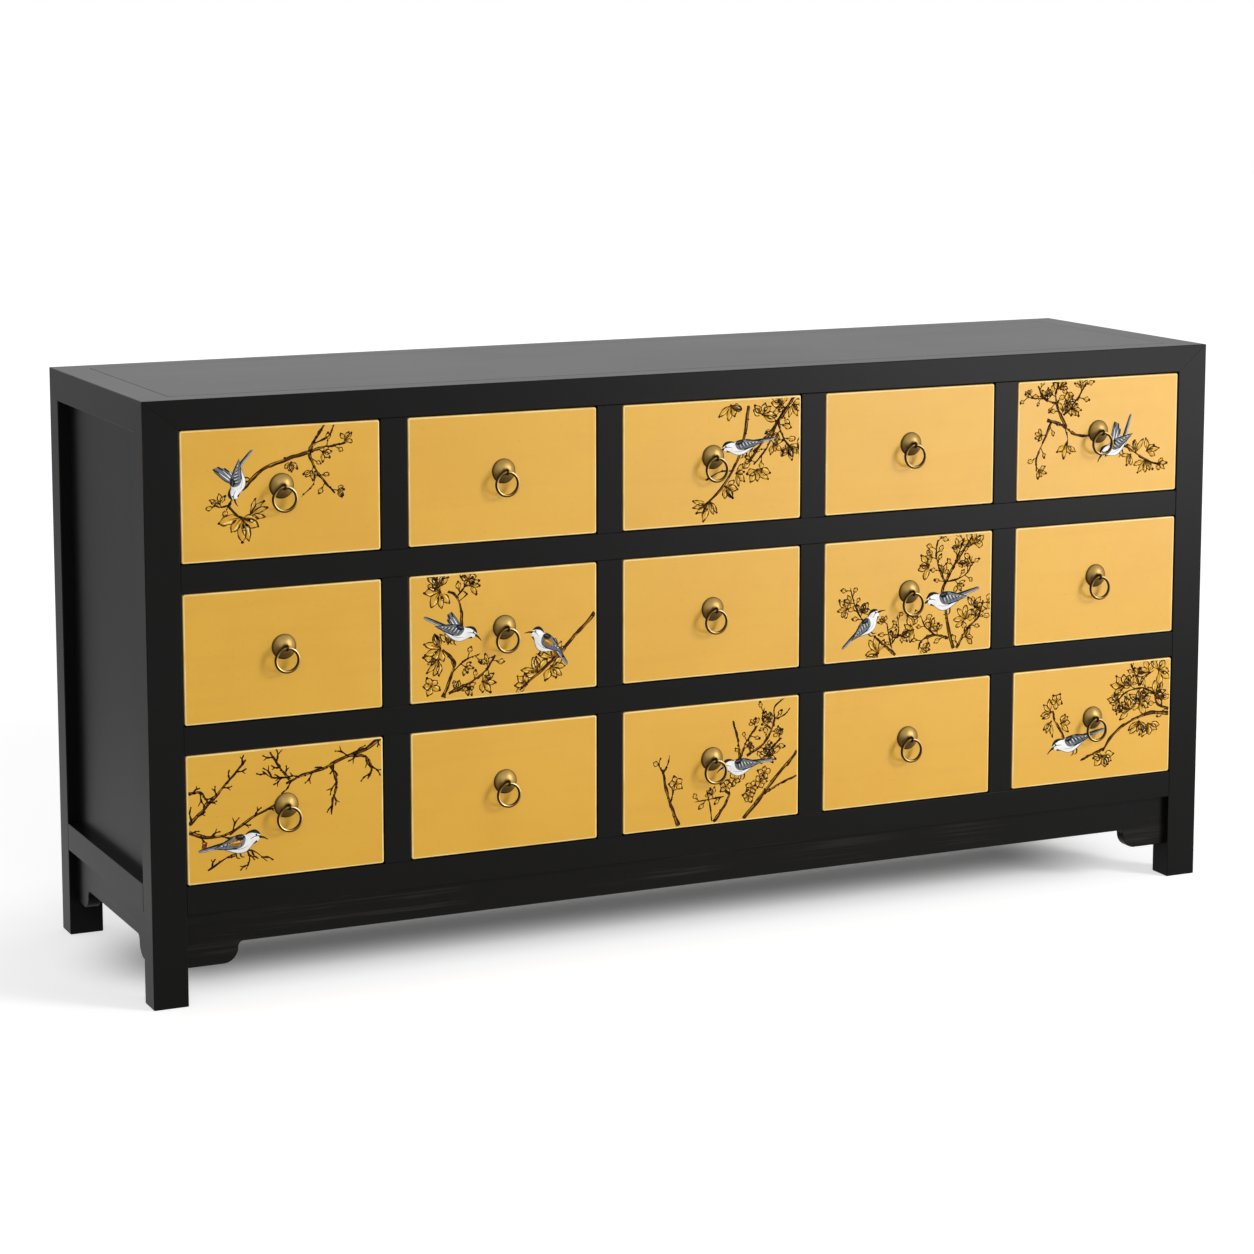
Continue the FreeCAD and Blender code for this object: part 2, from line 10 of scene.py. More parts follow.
import bpy
import numpy as np
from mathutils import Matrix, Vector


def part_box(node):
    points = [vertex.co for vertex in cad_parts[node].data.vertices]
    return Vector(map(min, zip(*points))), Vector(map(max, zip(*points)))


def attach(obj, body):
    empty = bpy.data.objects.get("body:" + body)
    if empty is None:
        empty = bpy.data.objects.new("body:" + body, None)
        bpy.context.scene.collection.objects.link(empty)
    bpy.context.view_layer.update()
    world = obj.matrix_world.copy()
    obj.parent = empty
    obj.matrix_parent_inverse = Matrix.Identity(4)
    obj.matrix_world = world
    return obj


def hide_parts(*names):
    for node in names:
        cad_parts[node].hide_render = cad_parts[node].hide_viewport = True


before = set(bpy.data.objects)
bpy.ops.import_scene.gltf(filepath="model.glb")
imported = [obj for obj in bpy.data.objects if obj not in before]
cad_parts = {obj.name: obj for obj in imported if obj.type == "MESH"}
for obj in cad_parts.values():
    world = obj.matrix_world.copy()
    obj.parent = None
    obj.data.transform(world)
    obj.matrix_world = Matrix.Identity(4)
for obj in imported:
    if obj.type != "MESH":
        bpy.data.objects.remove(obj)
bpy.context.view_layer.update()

# %% [markdown]
# ## The camera
# The picture looks at the cabinet from the left and a little above, with a long lens, so upright
# edges stay nearly parallel. The place and lens below put the corners of the carcass close to where
# the picture has them. A small downward shift keeps the verticals straighter than tilting alone would.

# %% Set up the camera
CAMERA_PLACE = (-1.8967, -3.9767, 1.2267)
CAMERA_YAW, CAMERA_PITCH = math.radians(-25.136), math.radians(8.36)
CAMERA_LENS, SENSOR_WIDTH, CAMERA_SHIFT = 96.51, 36, -0.12

camera_data = bpy.data.cameras.new("portrait_camera")
camera_data.lens, camera_data.sensor_width = CAMERA_LENS, SENSOR_WIDTH
camera_data.shift_y = CAMERA_SHIFT
camera = bpy.data.objects.new("portrait_camera", camera_data)
camera.location = CAMERA_PLACE
camera.rotation_euler = (math.pi / 2 - CAMERA_PITCH, 0, CAMERA_YAW)
bpy.context.collection.objects.link(camera)
bpy.context.scene.camera = camera
bpy.context.scene.view_settings.view_transform = "Standard"
print("lens", camera_data.lens, "mm")

# %% [markdown]
# ## Shader arithmetic
# Finishes below are written as sums of masks and colours. A small class wraps an output socket, so
# that `1 - mask` or `mask * 0.3` adds the Math node by itself, and one method adds any other node.

# %% A socket that can be used in sums
class Wire:
    """An output socket of a node tree; numbers and other wires combine with it by operators."""

    def __init__(self, tree, socket=None):
        self.tree = tree
        self.socket = socket

    def node(self, kind, settings=None, sockets=None, output=0):
        """Add a node: settings first (a ramp takes stops), then values or wires for its sockets."""
        made = self.tree.nodes.new(kind)
        for name, value in (settings or {}).items():
            if name == "stops":
                steps = made.color_ramp.elements
                while len(steps) < len(value):
                    steps.new(1)
                for step, (place, colour) in zip(steps, value):
                    step.position = place
                    step.color = (*colour, 1)
            else:
                setattr(made, name, value)
        for name, value in (sockets or {}).items():
            if isinstance(value, Wire):
                self.tree.links.new(value.socket, made.inputs[name])
            else:
                made.inputs[name].default_value = value
        return Wire(self.tree, made.outputs[output])

    def sum(self, operation, first, second):
        return self.node("ShaderNodeMath", {"operation": operation}, {0: first, 1: second})

    def __add__(self, other):
        return self.sum("ADD", self, other)

    __radd__ = __add__

    def __sub__(self, other):
        return self.sum("SUBTRACT", self, other)

    def __rsub__(self, other):
        return self.sum("SUBTRACT", other, self)

    def __mul__(self, other):
        return self.sum("MULTIPLY", self, other)

    __rmul__ = __mul__

    def noise(self, scale, detail=3.0, roughness=0.5, stretch=(1, 1, 1), distortion=0.0):
        """Noise from 0 to 1 over this vector, finer along an axis where stretch is larger."""
        spread = self.node("ShaderNodeVectorMath", {"operation": "MULTIPLY"}, {0: self, 1: stretch})
        return self.node("ShaderNodeTexNoise", {"noise_dimensions": "3D"}, {
            "Vector": spread, "Scale": scale, "Detail": detail, "Roughness": roughness,
            "Distortion": distortion})

    def between(self, low, high):
        """0 below low, 1 above high, and a smooth slope in between."""
        return self.node("ShaderNodeMapRange", {"interpolation_type": "SMOOTHSTEP"}, {
            "Value": self, "From Min": low, "From Max": high})

    def tint(self, first, second):
        """The first colour where this mask is 0 and the second where it is 1."""
        colours = {6: first, 7: second}
        full = {spot: c if isinstance(c, Wire) else (*c, 1) for spot, c in colours.items()}
        return self.node("ShaderNodeMix", {"data_type": "RGBA"}, {0: self, **full}, output=2)

    def bump(self, strength, distance):
        return self.node("ShaderNodeBump", None, {
            "Height": self, "Strength": strength, "Distance": distance})


print("reflected operators", [name for name in vars(Wire) if name.startswith("__r")])

# %% [markdown]
# Three helpers save typing in every finish: one opens a new material, one fills its surface shader's
# sockets by name, and one reads a value that is stored on the points of a mesh.

# %% Helpers for finishes
def new_finish(name):
    """A fresh material: the material, a bare wire in its tree, and its surface shader."""
    finish = bpy.data.materials.new(name)
    finish.use_nodes = True
    tree = finish.node_tree
    return finish, Wire(tree), tree.nodes["Principled BSDF"]


def dress(shader, **sockets):
    """Set a shader's sockets by name, with _ for a space."""
    for name, value in sockets.items():
        socket = shader.inputs[name.replace("_", " ")]
        if isinstance(value, Wire):
            value.tree.links.new(value.socket, socket)
        else:
            socket.default_value = (*value, 1) if isinstance(value, tuple) else value


def attribute(start, name, output="Vector"):
    return start.node("ShaderNodeAttribute", {"attribute_name": name}, None, output)


print("finish helpers ready")

# %% [markdown]
# ## Studio floor and light
# The cabinet stands on a white sweep that melts into a white background and keeps only a soft shadow.
# A pale floor alone would render grey, so a share of plain white is added for camera and mirror rays
# only, which leaves the light on the object as it is. The share grows with the distance from a line
# under the cabinet, so the floor is darkest there. The line leans to the left, where the shadow falls.
# What the left side mirrors of the floor beyond it is held back, or its black would look grey.

# %% White sweep
def seen_directly(start, mirrored=1.0):
    """1 for what the camera sees straight, mirrored for what it sees in a mirror or glass, 0 for light
    that bounces."""
    straight, gloss, glass = (start.node("ShaderNodeLightPath", None, None, f"Is {kind} Ray")
                              for kind in ("Camera", "Glossy", "Transmission"))
    return straight.sum("MAXIMUM", straight, gloss.sum("MAXIMUM", gloss, glass) * mirrored)


FLOOR_PALE, FLOOR_UNEVEN, FLOOR_REACH = 0.90, 0.01, 14.0
UNDER_GLOW, EDGE_GLOW, NEAR_GLOW, FAR_GLOW = 0.06, 0.54, 0.12, 0.13
SHADOW_LEAN, EDGE_LAP, NEAR_LAP, NEAR_REACH = 0.04, 0.01, 0.02, 0.26
FAR_BEGIN, FAR_END = 1.4, 4.4
SHADE, SHADE_ASIDE, SHADE_BEHIND = 0.65, (0.85, 1.25), (0.0, 0.6)

floor_finish, start, shader = new_finish("white_sweep")
place = start.node("ShaderNodeTexCoord", None, None, "Object")
white = place.noise(3.0, 2.0).tint((FLOOR_PALE - FLOOR_UNEVEN,) * 3, (FLOOR_PALE + FLOOR_UNEVEN,) * 3)
foot_low, foot_high = (np.array(c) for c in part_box("corner_posts"))
middle, half = (foot_low + foot_high) / 2 * (1, 1, 0), (foot_high - foot_low) / 2
middle[0] -= SHADOW_LEAN
ridge = (half[0] - half[1] + SHADOW_LEAN, 0, 0)


def vector_sum(operation, first, second=(0, 0, 0), output="Vector"):
    return start.node("ShaderNodeVectorMath", {"operation": operation}, {0: first, 1: second}, output)


across = vector_sum("ABSOLUTE", vector_sum("SUBTRACT", place, tuple(middle)))
beyond = vector_sum("MAXIMUM", vector_sum("SUBTRACT", across, ridge))
away = vector_sum("LENGTH", beyond, output="Value")
added = (UNDER_GLOW + away.between(0.0, half[1] - EDGE_LAP) * EDGE_GLOW
         + away.between(half[1] - NEAR_LAP, half[1] + NEAR_REACH) * NEAR_GLOW
         + away.between(FAR_BEGIN, FAR_END) * FAR_GLOW)
aside, behind = (start.node("ShaderNodeSeparateXYZ", None, {0: place}, axis) for axis in "XY")
shaded = (0 - aside).between(*SHADE_ASIDE) * behind.between(*SHADE_BEHIND)
glow = (seen_directly(start, 1 - SHADE * shaded) * added).tint((0, 0, 0), (1, 1, 1))
dress(shader, Base_Color=white, Roughness=0.9, Specular_IOR_Level=0.0, Emission_Color=glow,
      Emission_Strength=1.0)

floor_mesh = bpy.data.meshes.new("studio_floor")
corners = np.array([(-1, -1, 0), (1, -1, 0), (1, 1, 0), (-1, 1, 0)], float) * FLOOR_REACH
floor_mesh.from_pydata(corners.tolist(), [], [(0, 1, 2, 3)])
floor_mesh.materials.append(floor_finish)
floor = bpy.data.objects.new("studio_floor", floor_mesh)
bpy.context.collection.objects.link(floor)
print("floor", floor.name, "half size", FLOOR_REACH)

# %% [markdown]
# The world has two strengths. The camera and mirrors see plain white, while light that bounces gets
# only a weak fill, so a white background doesn't wash out the black lacquer.

# %% White background
WORLD_FILL = 0.28

world = bpy.data.worlds.new("studio_white")
world.use_nodes = True
bpy.context.scene.world = world
start = Wire(world.node_tree)
back_light = start.node("ShaderNodeBackground", None, {"Color": (1, 1, 1, 1), "Strength": WORLD_FILL})
back_white = start.node("ShaderNodeBackground", None, {"Color": (1, 1, 1, 1), "Strength": 1.0})
mixed = start.node("ShaderNodeMixShader", None, {0: seen_directly(start), 1: back_light, 2: back_white})
world.node_tree.links.new(mixed.socket, world.node_tree.nodes["World Output"].inputs["Surface"])
print("world fill", WORLD_FILL)

# %% [markdown]
# Three soft boxes light the front. The main one stands high on the right, so the shadows of the pulls
# fall down to the left. A low one on the right lays a sheen on the lacquer there, and a broad weak one
# keeps the drawers on the left from going dull.

# %% Soft boxes
def soft_box(name, place, aim, wide, high, watts):
    """A rectangular area lamp that faces the point aim."""
    data = bpy.data.lights.new(name, "AREA")
    data.shape = "RECTANGLE"
    data.size, data.size_y = wide, high
    data.energy = watts
    lamp = bpy.data.objects.new(name, data)
    place, aim = np.array(place, float), np.array(aim, float)
    reach = aim - place
    lamp.location = place
    level = math.hypot(reach[0], reach[1])
    lamp.rotation_euler = (math.atan2(level, -reach[2]), 0, math.atan2(-reach[0], reach[1]))
    bpy.context.collection.objects.link(lamp)
    return lamp


soft_box("key_box", (4.2, -4.2, 2.7), (0.0, 0.0, 0.35), 1.5, 1.5, 154)
soft_box("sheen_box", (2.75, -3.65, 0.44), (0.2, 0.0, 0.42), 1.7, 0.84, 64)
soft_box("front_fill", (-1.8, -4.2, 2.0), (-0.3, 0.0, 0.35), 3.0, 3.0, 36)
print("lamps", [lamp.name for lamp in bpy.data.lights])

# %% [markdown]
# ## Lacquers, wood, brass and paint
# The black is a thin satin lacquer over wood: dark, a little cloudy, with fine grain telegraphing
# through and brown wood rubbed bare along the arrises. Grain has to run along each member, so the
# finish reads a `grain` attribute, whose first axis is the length of the piece, and an `arris`
# attribute that is 1 on eased edges.

# %% Black lacquer
def black_lacquer():
    finish, start, shader = new_finish("black_lacquer")
    grain = attribute(start, "grain")
    arris = attribute(start, "arris", "Fac")
    cloud = grain.noise(5.0, 3.0)
    fibre = grain.noise(40.0, 4.0, 0.6, (0.06, 1, 1))
    patchy = grain.noise(14.0, 4.0, 0.65, (0.35, 1, 1))
    rubbed = arris * patchy.between(0.54, 0.70)
    scuff = grain.noise(22.0, 5.0, 0.7, (0.12, 1, 1)).between(0.70, 0.80) * cloud.between(0.52, 0.66)
    deep = cloud.tint((0.0050, 0.0048, 0.0046), (0.0066, 0.0063, 0.0061))
    aged = (scuff * 0.12).tint(deep, (0.050, 0.027, 0.015))
    # On the aprons the finish lays fine paler streaks over the black.
    thin = attribute(start, "patina", "Fac") * grain.noise(4.0, 2.0).between(0.42, 0.60)
    apron_streaks = thin * grain.noise(150.0, 4.0, 0.7, (0.02, 1, 1)).between(0.50, 0.66)
    streaked = (apron_streaks * 0.5).tint(aged, (0.034, 0.031, 0.029))
    worn = (rubbed * 0.55).tint(streaked, (0.085, 0.048, 0.026))
    gloss = 0.28 + cloud * 0.04 + fibre * 0.02 + rubbed * 0.15
    relief = (fibre * 0.7 + patchy * 0.3).bump(0.08, 0.0005)
    dress(shader, Base_Color=worn, Roughness=gloss, Normal=relief, IOR=1.12, Specular_IOR_Level=0.75)
    return finish


BLACK = black_lacquer()
print(BLACK.name)

# %% [markdown]
# The drawer fronts are a warm mustard lacquer, brushed on, slightly uneven in depth, and paler along
# the eased edge, partly rubbed wear and partly a painted highlight. Bump carries the brush marks and the
# dust in the coat, because relief that fine would need far too many points as real shape.

# %% Mustard lacquer
def mustard_lacquer():
    finish, start, shader = new_finish("mustard_lacquer")
    grain = attribute(start, "grain")
    arris = attribute(start, "arris", "Fac")
    cloud = grain.noise(9.0, 3.0, 0.55)
    brush = grain.noise(60.0, 4.0, 0.6, (0.08, 1, 1))
    speck = grain.noise(300.0, 2.0, 0.5)
    body = cloud.between(0.3, 0.7).tint((0.655, 0.346, 0.021), (0.680, 0.370, 0.026))
    streaked = (brush.between(0.45, 0.75) * 0.22).tint(body, (0.605, 0.305, 0.017))
    dusty = (speck.between(0.66, 0.76) * 0.25).tint(streaked, (0.36, 0.19, 0.03))
    # The pale eased edge is partly wear and partly a painted highlight of light catching the edge.
    rubbed = arris * (0.55 + 0.45 * grain.noise(30.0, 3.0).between(0.3, 0.6))
    wear_and_highlight = rubbed.tint(dusty, (0.94, 0.76, 0.34))
    gloss = 0.34 + cloud * 0.10 + brush * 0.05
    relief = (brush * 0.6 + speck * 0.4).bump(0.18, 0.0004)
    dress(shader, Base_Color=wear_and_highlight, Roughness=gloss, Normal=relief, Specular_IOR_Level=0.44)
    return finish


MUSTARD = mustard_lacquer()
print(MUSTARD.name)

# %% [markdown]
# Inside, the drawers and runners are bare softwood. The board under them is made dark: a painted shade,
# so that the light it bounces leaves the shadow under the cabinet grey rather than brown. Nodes kept from
# the measured model carry no attributes, so this finish can read either the `grain` attribute or the
# plain Object coordinates.

# %% Bare wood
PALE_TONES = ((0.46, 0.30, 0.16), (0.33, 0.195, 0.095), (0.26, 0.155, 0.08), (0.20, 0.115, 0.055))
# Dark wood for the board under the drawers: a painted shade that keeps the shadow under the cabinet grey.
SHADE_DARK_TONES = ((0.080, 0.072, 0.066), (0.055, 0.049, 0.044), (0.045, 0.040, 0.036), (0.03, 0.026, 0.023))


def bare_wood(name, turned=(0, 0, 0), own_grain=False, tones=PALE_TONES):
    """Wood whose rings are stretched along the first axis after turning the coordinates."""
    finish, start, shader = new_finish(name)
    place = start.node("ShaderNodeTexCoord", None, None, "Object")
    place = attribute(start, "grain") if own_grain else place
    along = start.node("ShaderNodeMapping", None, {"Vector": place, "Rotation": turned})
    wander = along.noise(3.0, 2.0, 0.5, (0.4, 1, 1))
    rings = along.noise(22.0, 3.0, 0.55, (0.05, 1.2, 1.2), 1.2)
    fibre = along.noise(160.0, 4.0, 0.65, (0.03, 1, 1))
    early = rings.between(0.35, 0.65).tint(tones[0], tones[1])
    aged = (wander.between(0.45, 0.7) * 0.5).tint(early, tones[2])
    lined = (fibre.between(0.5, 0.7) * 0.4).tint(aged, tones[3])
    relief = (fibre * 0.7 + rings * 0.3).bump(0.3, 0.0005)
    dress(shader, Base_Color=lined, Roughness=0.55 + fibre * 0.25, Normal=relief)
    return finish


QUARTER_TURN = math.pi / 2
DRAWER_WOOD = bare_wood("drawer_wood", own_grain=True)
WOOD_ALONG_X = bare_wood("rail_wood")
WOOD_ALONG_Y = bare_wood("runner_wood", (0, 0, QUARTER_TURN))
SHADE_DARK_WOOD = bare_wood("shade_dark_wood", tones=SHADE_DARK_TONES)
print(DRAWER_WOOD.name, WOOD_ALONG_X.name, WOOD_ALONG_Y.name)

# %% [markdown]
# The pulls are old brass, golden in places and brown with patina in others. A `patina`
# attribute says where: 0 is golden, 1 is brown and above 1 is sooty, as round the eye. Besides real
# patina it carries painted light: painted shade on the side of each dome away from the lamps, and,
# below 0, a painted highlight of bright metal where domes and rings face them. Soft noise breaks it up,
# and fine scratches catch the light.

# %% Antique brass
def antique_brass():
    finish, start, shader = new_finish("antique_brass")
    place = start.node("ShaderNodeTexCoord", None, None, "Object")
    patina = attribute(start, "patina", "Fac")
    cloud = place.noise(90.0, 3.0, 0.5)
    fleck = place.noise(900.0, 3.0, 0.6)
    dark = (patina + (cloud - 0.5) * 0.5).between(0.0, 1.0)
    gold = cloud.tint((0.310, 0.200, 0.056), (0.390, 0.265, 0.090))
    # Below 0 the brass turns pale: a painted highlight on the lamp side of domes and rings.
    painted_highlight = (0 - patina).between(0.0, 1.0)
    sooty = (patina - 1.0).between(0.0, 0.5).tint((0.085, 0.051, 0.014), (0.022, 0.012, 0.004))
    metal = painted_highlight.tint(dark.tint(gold, sooty), (0.780, 0.600, 0.330))
    relief = (fleck * 0.4 + cloud * 0.6).bump(0.12, 0.0003)
    gloss = 0.44 + dark * 0.04 + fleck * 0.06 - painted_highlight * 0.20
    dress(shader, Base_Color=metal, Metallic=1.0, Roughness=gloss, Normal=relief)
    return finish


BRASS = antique_brass()
print(BRASS.name)

# %% [markdown]
# ## Surfaces by formula
# A joiner's board is a sawn outline with its edges eased over. That is one family of surfaces: an
# outline in two axes, carried along the third through a few layers that round the two faces over. A
# cube with a bevel would look much the same, but a formula also gives exact normals and marks the
# points on an arris, where lacquer wears. The outline comes first, with its corners rounded, and a
# helper numbers the faces of any grid.

# %% Rounded outlines
EASE_STEPS = 3


def rounded_outline(corners, radius, steps=EASE_STEPS):
    """A closed outline, run round counterclockwise, with every corner rounded.

    The arc at a corner starts radius * tan(turn / 2) before it. Its points are centre + side * radius
    * n, where the outward normal n turns evenly from one edge to the next and side is -1 at an inner
    corner. Gives points, outward normals and a mark that is 1 in the middle of each sharp turn.
    """
    corners = np.asarray(corners, float)
    ahead = np.roll(corners, -1, axis=0) - corners
    leaving = ahead / np.linalg.norm(ahead, axis=1, keepdims=True)
    coming = np.roll(leaving, 1, axis=0)
    turn = np.arctan2(coming[:, 0] * leaving[:, 1] - coming[:, 1] * leaving[:, 0],
                      (coming * leaving).sum(axis=1))
    side = np.where(turn < 0, -1.0, 1.0)[:, None]
    normal = np.stack([coming[:, 1], -coming[:, 0]], axis=1)
    centre = corners - coming * radius * np.tan(abs(turn) / 2)[:, None] - side * radius * normal
    share = np.linspace(0, 1, steps + 1)
    cos, sin = np.cos(turn[:, None] * share), np.sin(turn[:, None] * share)
    turned = np.stack([normal[:, :1] * cos - normal[:, 1:] * sin,
                       normal[:, :1] * sin + normal[:, 1:] * cos], axis=-1)
    points = centre[:, None] + side[:, None] * radius * turned
    sharp = np.sin(np.pi * share) * np.clip(abs(turn) / 1.0, 0, 1)[:, None]
    return points.reshape(-1, 2), turned.reshape(-1, 2), sharp.reshape(-1)


def grid_faces(rows, columns, wrap_rows=False):
    """Quads of a grid of points numbered row by row: each row is a ring, and so are the rows if wrapped."""
    row = np.arange(rows if wrap_rows else rows - 1)[:, None]
    column = np.arange(columns)[None, :]
    next_row, next_column = (row + 1) % rows, (column + 1) % columns
    corners = [row * columns + column, row * columns + next_column,
               next_row * columns + next_column, next_row * columns + column]
    return np.stack([c + 0 * (row + column) for c in corners], axis=-1).reshape(-1, 4)


print("ease steps", EASE_STEPS)

# %% [markdown]
# A patch is kept as plain arrays: points, faces, normals, and what the finishes read on the points. A
# board is one patch, with its grain shifted at random so that no two boards show the same figure.

# %% Boards with eased edges
AXIS = {"x": 0, "y": 1, "z": 2}
BOARD_EASE = 0.0007
shuffle = np.random.default_rng(7)


def patch(points, faces, normals=None, arris=None, grain=None, finish=0, patina=None):
    """Arrays of one surface; a zero normal is left for smooth shading to fill in."""
    points = np.asarray(points, float).reshape(-1, 3)
    return {
        "points": points,
        "faces": [list(map(int, face)) for face in faces],
        "normals": np.zeros_like(points) if normals is None else normals,
        "arris": np.zeros(len(points)) if arris is None else arris,
        "grain": points if grain is None else grain,
        "finish": finish,
        "patina": np.zeros(len(points)) if patina is None else np.ravel(patina),
    }


def eased_slab(outline, low, high, axes, eases, along, finish=0, band=0.0):
    """An outline in the plane of the first two axes, carried along the third from low to high.

    Over an eased face of radius e the layer at angle a, from 0 on the face to 90 degrees on the side,
    is drawn in by e * (1 - sin a) and lies e * (1 - cos a) from the face. low and high may differ from
    point to point, which makes a mitred end. A band widens the pale arris mark on the low face, which the
    mustard shows as wear and painted highlight.
    """
    flat, outward, sharp = outline
    count = len(flat)
    plane = [AXIS[axis] for axis in axes]
    layers, tilts = [], []
    for end, ease, facing in ((low, eases[0], -1), (high, eases[1], 1)):
        angle = np.linspace(0, np.pi / 2, EASE_STEPS + 1) if ease else np.array([np.pi / 2])
        angle = angle[::-1] if facing > 0 else angle
        drawn_in, rubbed = ease * (1 - np.sin(angle)), np.sin(2 * angle)
        # The band is a pale arris mark inside the eased edge: wear, and on the mustard a painted highlight.
        if band and facing < 0:
            angle, drawn_in = np.append(0.0, angle), np.append(ease + band, drawn_in)
            rubbed = np.concatenate([(0.0, 0.8), rubbed[1:]])
        drawn = flat[None] - drawn_in[:, None, None] * outward[None]
        depth = np.broadcast_to(end, (count,))[None] - facing * (ease * (1 - np.cos(angle)))[:, None]
        layers.append(np.concatenate([drawn, depth[..., None]], axis=-1))
        lean = np.concatenate([np.sin(angle)[:, None, None] * outward[None],
                               np.broadcast_to(facing * np.cos(angle)[:, None, None],
                                               (len(angle), count, 1))], axis=-1)
        tilts.append(np.concatenate([lean, np.broadcast_to(
            np.maximum(rubbed[:, None], np.sin(angle)[:, None] * sharp[None])[..., None],
            (len(angle), count, 1))], axis=-1))
    local = np.concatenate(layers).reshape(-1, 3)
    lean = np.concatenate(tilts).reshape(-1, 4)
    points, normals = np.empty_like(local), np.empty_like(local)
    points[:, plane], normals[:, plane] = local, lean[:, :3]
    rows = len(local) // count
    faces = grid_faces(rows, count).tolist()
    faces += [list(range(count))[::-1], list(range((rows - 1) * count, rows * count))]
    if axes not in ("xyz", "yzx", "zxy"):
        faces = [face[::-1] for face in faces]
    first = AXIS[along]
    grain = points[:, [first, (first + 1) % 3, (first + 2) % 3]] + shuffle.uniform(0, 9, 3)
    return patch(points, faces, normals, lean[:, 3], grain, finish)


def rectangle(x0, y0, x1, y1):
    return [(x0, y0), (x1, y0), (x1, y1), (x0, y1)]


def plain_board(low, high, along, ease=BOARD_EASE, finish=0):
    """A rectangular board with all its edges eased, its grain running along one axis."""
    others = [axis for axis in "xyz" if axis != along]
    axes = "".join(others) + along
    i, j, k = (AXIS[axis] for axis in axes)
    outline = rounded_outline(rectangle(low[i], low[j], high[i], high[j]), ease)
    return eased_slab(outline, low[k], high[k], axes, (ease, ease), along, finish)


print("axes", AXIS)

# %% [markdown]
# Several patches are joined into one piece of the cabinet. The piece rides on a body of the measured
# model, so that it slides or swings with it, and it can stand for measured nodes, which are then hidden.

# %% Pieces from patches
def make_piece(name, patches, finishes, body, stands_for=()):
    """Join patches into one mesh object that rides on a body and stands for some measured nodes."""
    starts = np.cumsum([0] + [len(p["points"]) for p in patches])
    faces = [[v + s for v in face] for p, s in zip(patches, starts) for face in p["faces"]]
    mesh = bpy.data.meshes.new(name)
    mesh.from_pydata(np.concatenate([p["points"] for p in patches]).tolist(), [], faces)
    for finish in finishes:
        mesh.materials.append(finish)
    numbers = np.concatenate([np.full(len(p["faces"]), p["finish"]) for p in patches])
    mesh.polygons.foreach_set("material_index", numbers.astype(np.int32))
    mesh.polygons.foreach_set("use_smooth", np.ones(len(faces), bool))
    for title, kind, field in (("grain", "FLOAT_VECTOR", "vector"), ("arris", "FLOAT", "value"),
                               ("patina", "FLOAT", "value")):
        values = np.concatenate([p[title] for p in patches]).astype(np.float32)
        mesh.attributes.new(title, kind, "POINT").data.foreach_set(field, values.ravel())
    mesh.update()
    normals = np.concatenate([p["normals"] for p in patches])
    if normals.any():
        mesh.normals_split_custom_set_from_vertices(normals.tolist())
    piece = bpy.data.objects.new(name, mesh)
    bpy.context.collection.objects.link(piece)
    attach(piece, body)
    if stands_for:
        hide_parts(*stands_for)
    return piece


print("piece maker ready")

# %% [markdown]
# ## Where things are
# A few sizes are shared by many members. The rest is read from the measured nodes: the outer planes
# from the corner posts and the openings from the drawers that fill them.

# %% Measure the carcass
POST_WIDTH, POST_DEPTH = 0.044, 0.036
TOP_RAIL, SIDE_TOP_RAIL, BOTTOM_RAIL = 0.036, 0.040, 0.035
REVEAL, RUNNING_GAP, FRONT_THICK = 0.0015, 0.0003, 0.018
FRAME_EASE = 0.0008
ROWS, COLUMNS = ("top", "middle", "bottom"), (1, 2, 3, 4, 5)
TAGS = [f"{row}_{column}" for row in ROWS for column in COLUMNS]

(left, front, ground), (right, back, top) = (np.array(c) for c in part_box("corner_posts"))
inner_left, inner_right = left + POST_WIDTH, right - POST_WIDTH
inner_front, inner_back = front + POST_DEPTH, back - POST_DEPTH


def opening(tag):
    """x0, x1, z0, z1 of the hole in the frame that a drawer closes."""
    low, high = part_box(f"drawer_{tag}")
    return low[0] - REVEAL, high[0] + REVEAL, low[2] - RUNNING_GAP, high[2] + REVEAL


lowest_sill = opening("bottom_1")[2]
leg_height = lowest_sill - BOTTOM_RAIL
print("front plane", round(float(front), 4), "opening", [round(float(v), 4) for v in opening("top_1")])

# %% [markdown]
# ## Posts and top frame
# At each top corner a post and two rails meet in a three-way mitre, so only a fine line shows. Each
# member is a rounded rectangle carried along its length; its end is cut by the formula `outer edge +
# post size * larger share`, where the shares run from 0 on the outer faces to 1 on the inner ones. A
# boolean cut would do it too, but the formula keeps the mesh clean at the joint.

# %% Posts and mitred top rails
MITRE_GAP, MEMBER_EASE, FOOT_EASE = 0.00018, 0.0012, 0.0015


def mitred_member(low, high, along, start_cut, end_cut, foot_ease):
    """A rounded bar from low to high; a cut is a function of section points that gives how far in."""
    axes = "".join(axis for axis in "xyz" if axis != along) + along
    i, j, k = (AXIS[axis] for axis in axes)
    outline = rounded_outline(rectangle(low[i], low[j], high[i], high[j]), MEMBER_EASE)
    section = outline[0]
    start = low[k] + start_cut(section)
    end = high[k] - end_cut(section)
    return eased_slab(outline, start, end, axes, (foot_ease, 0), along)


def shares(values, outer, inner):
    """0 at the outer value, 1 at the inner one, and held between them."""
    return np.clip((values - outer) / (inner - outer), 0, 1)


def no_cut(section):
    return np.zeros(len(section))


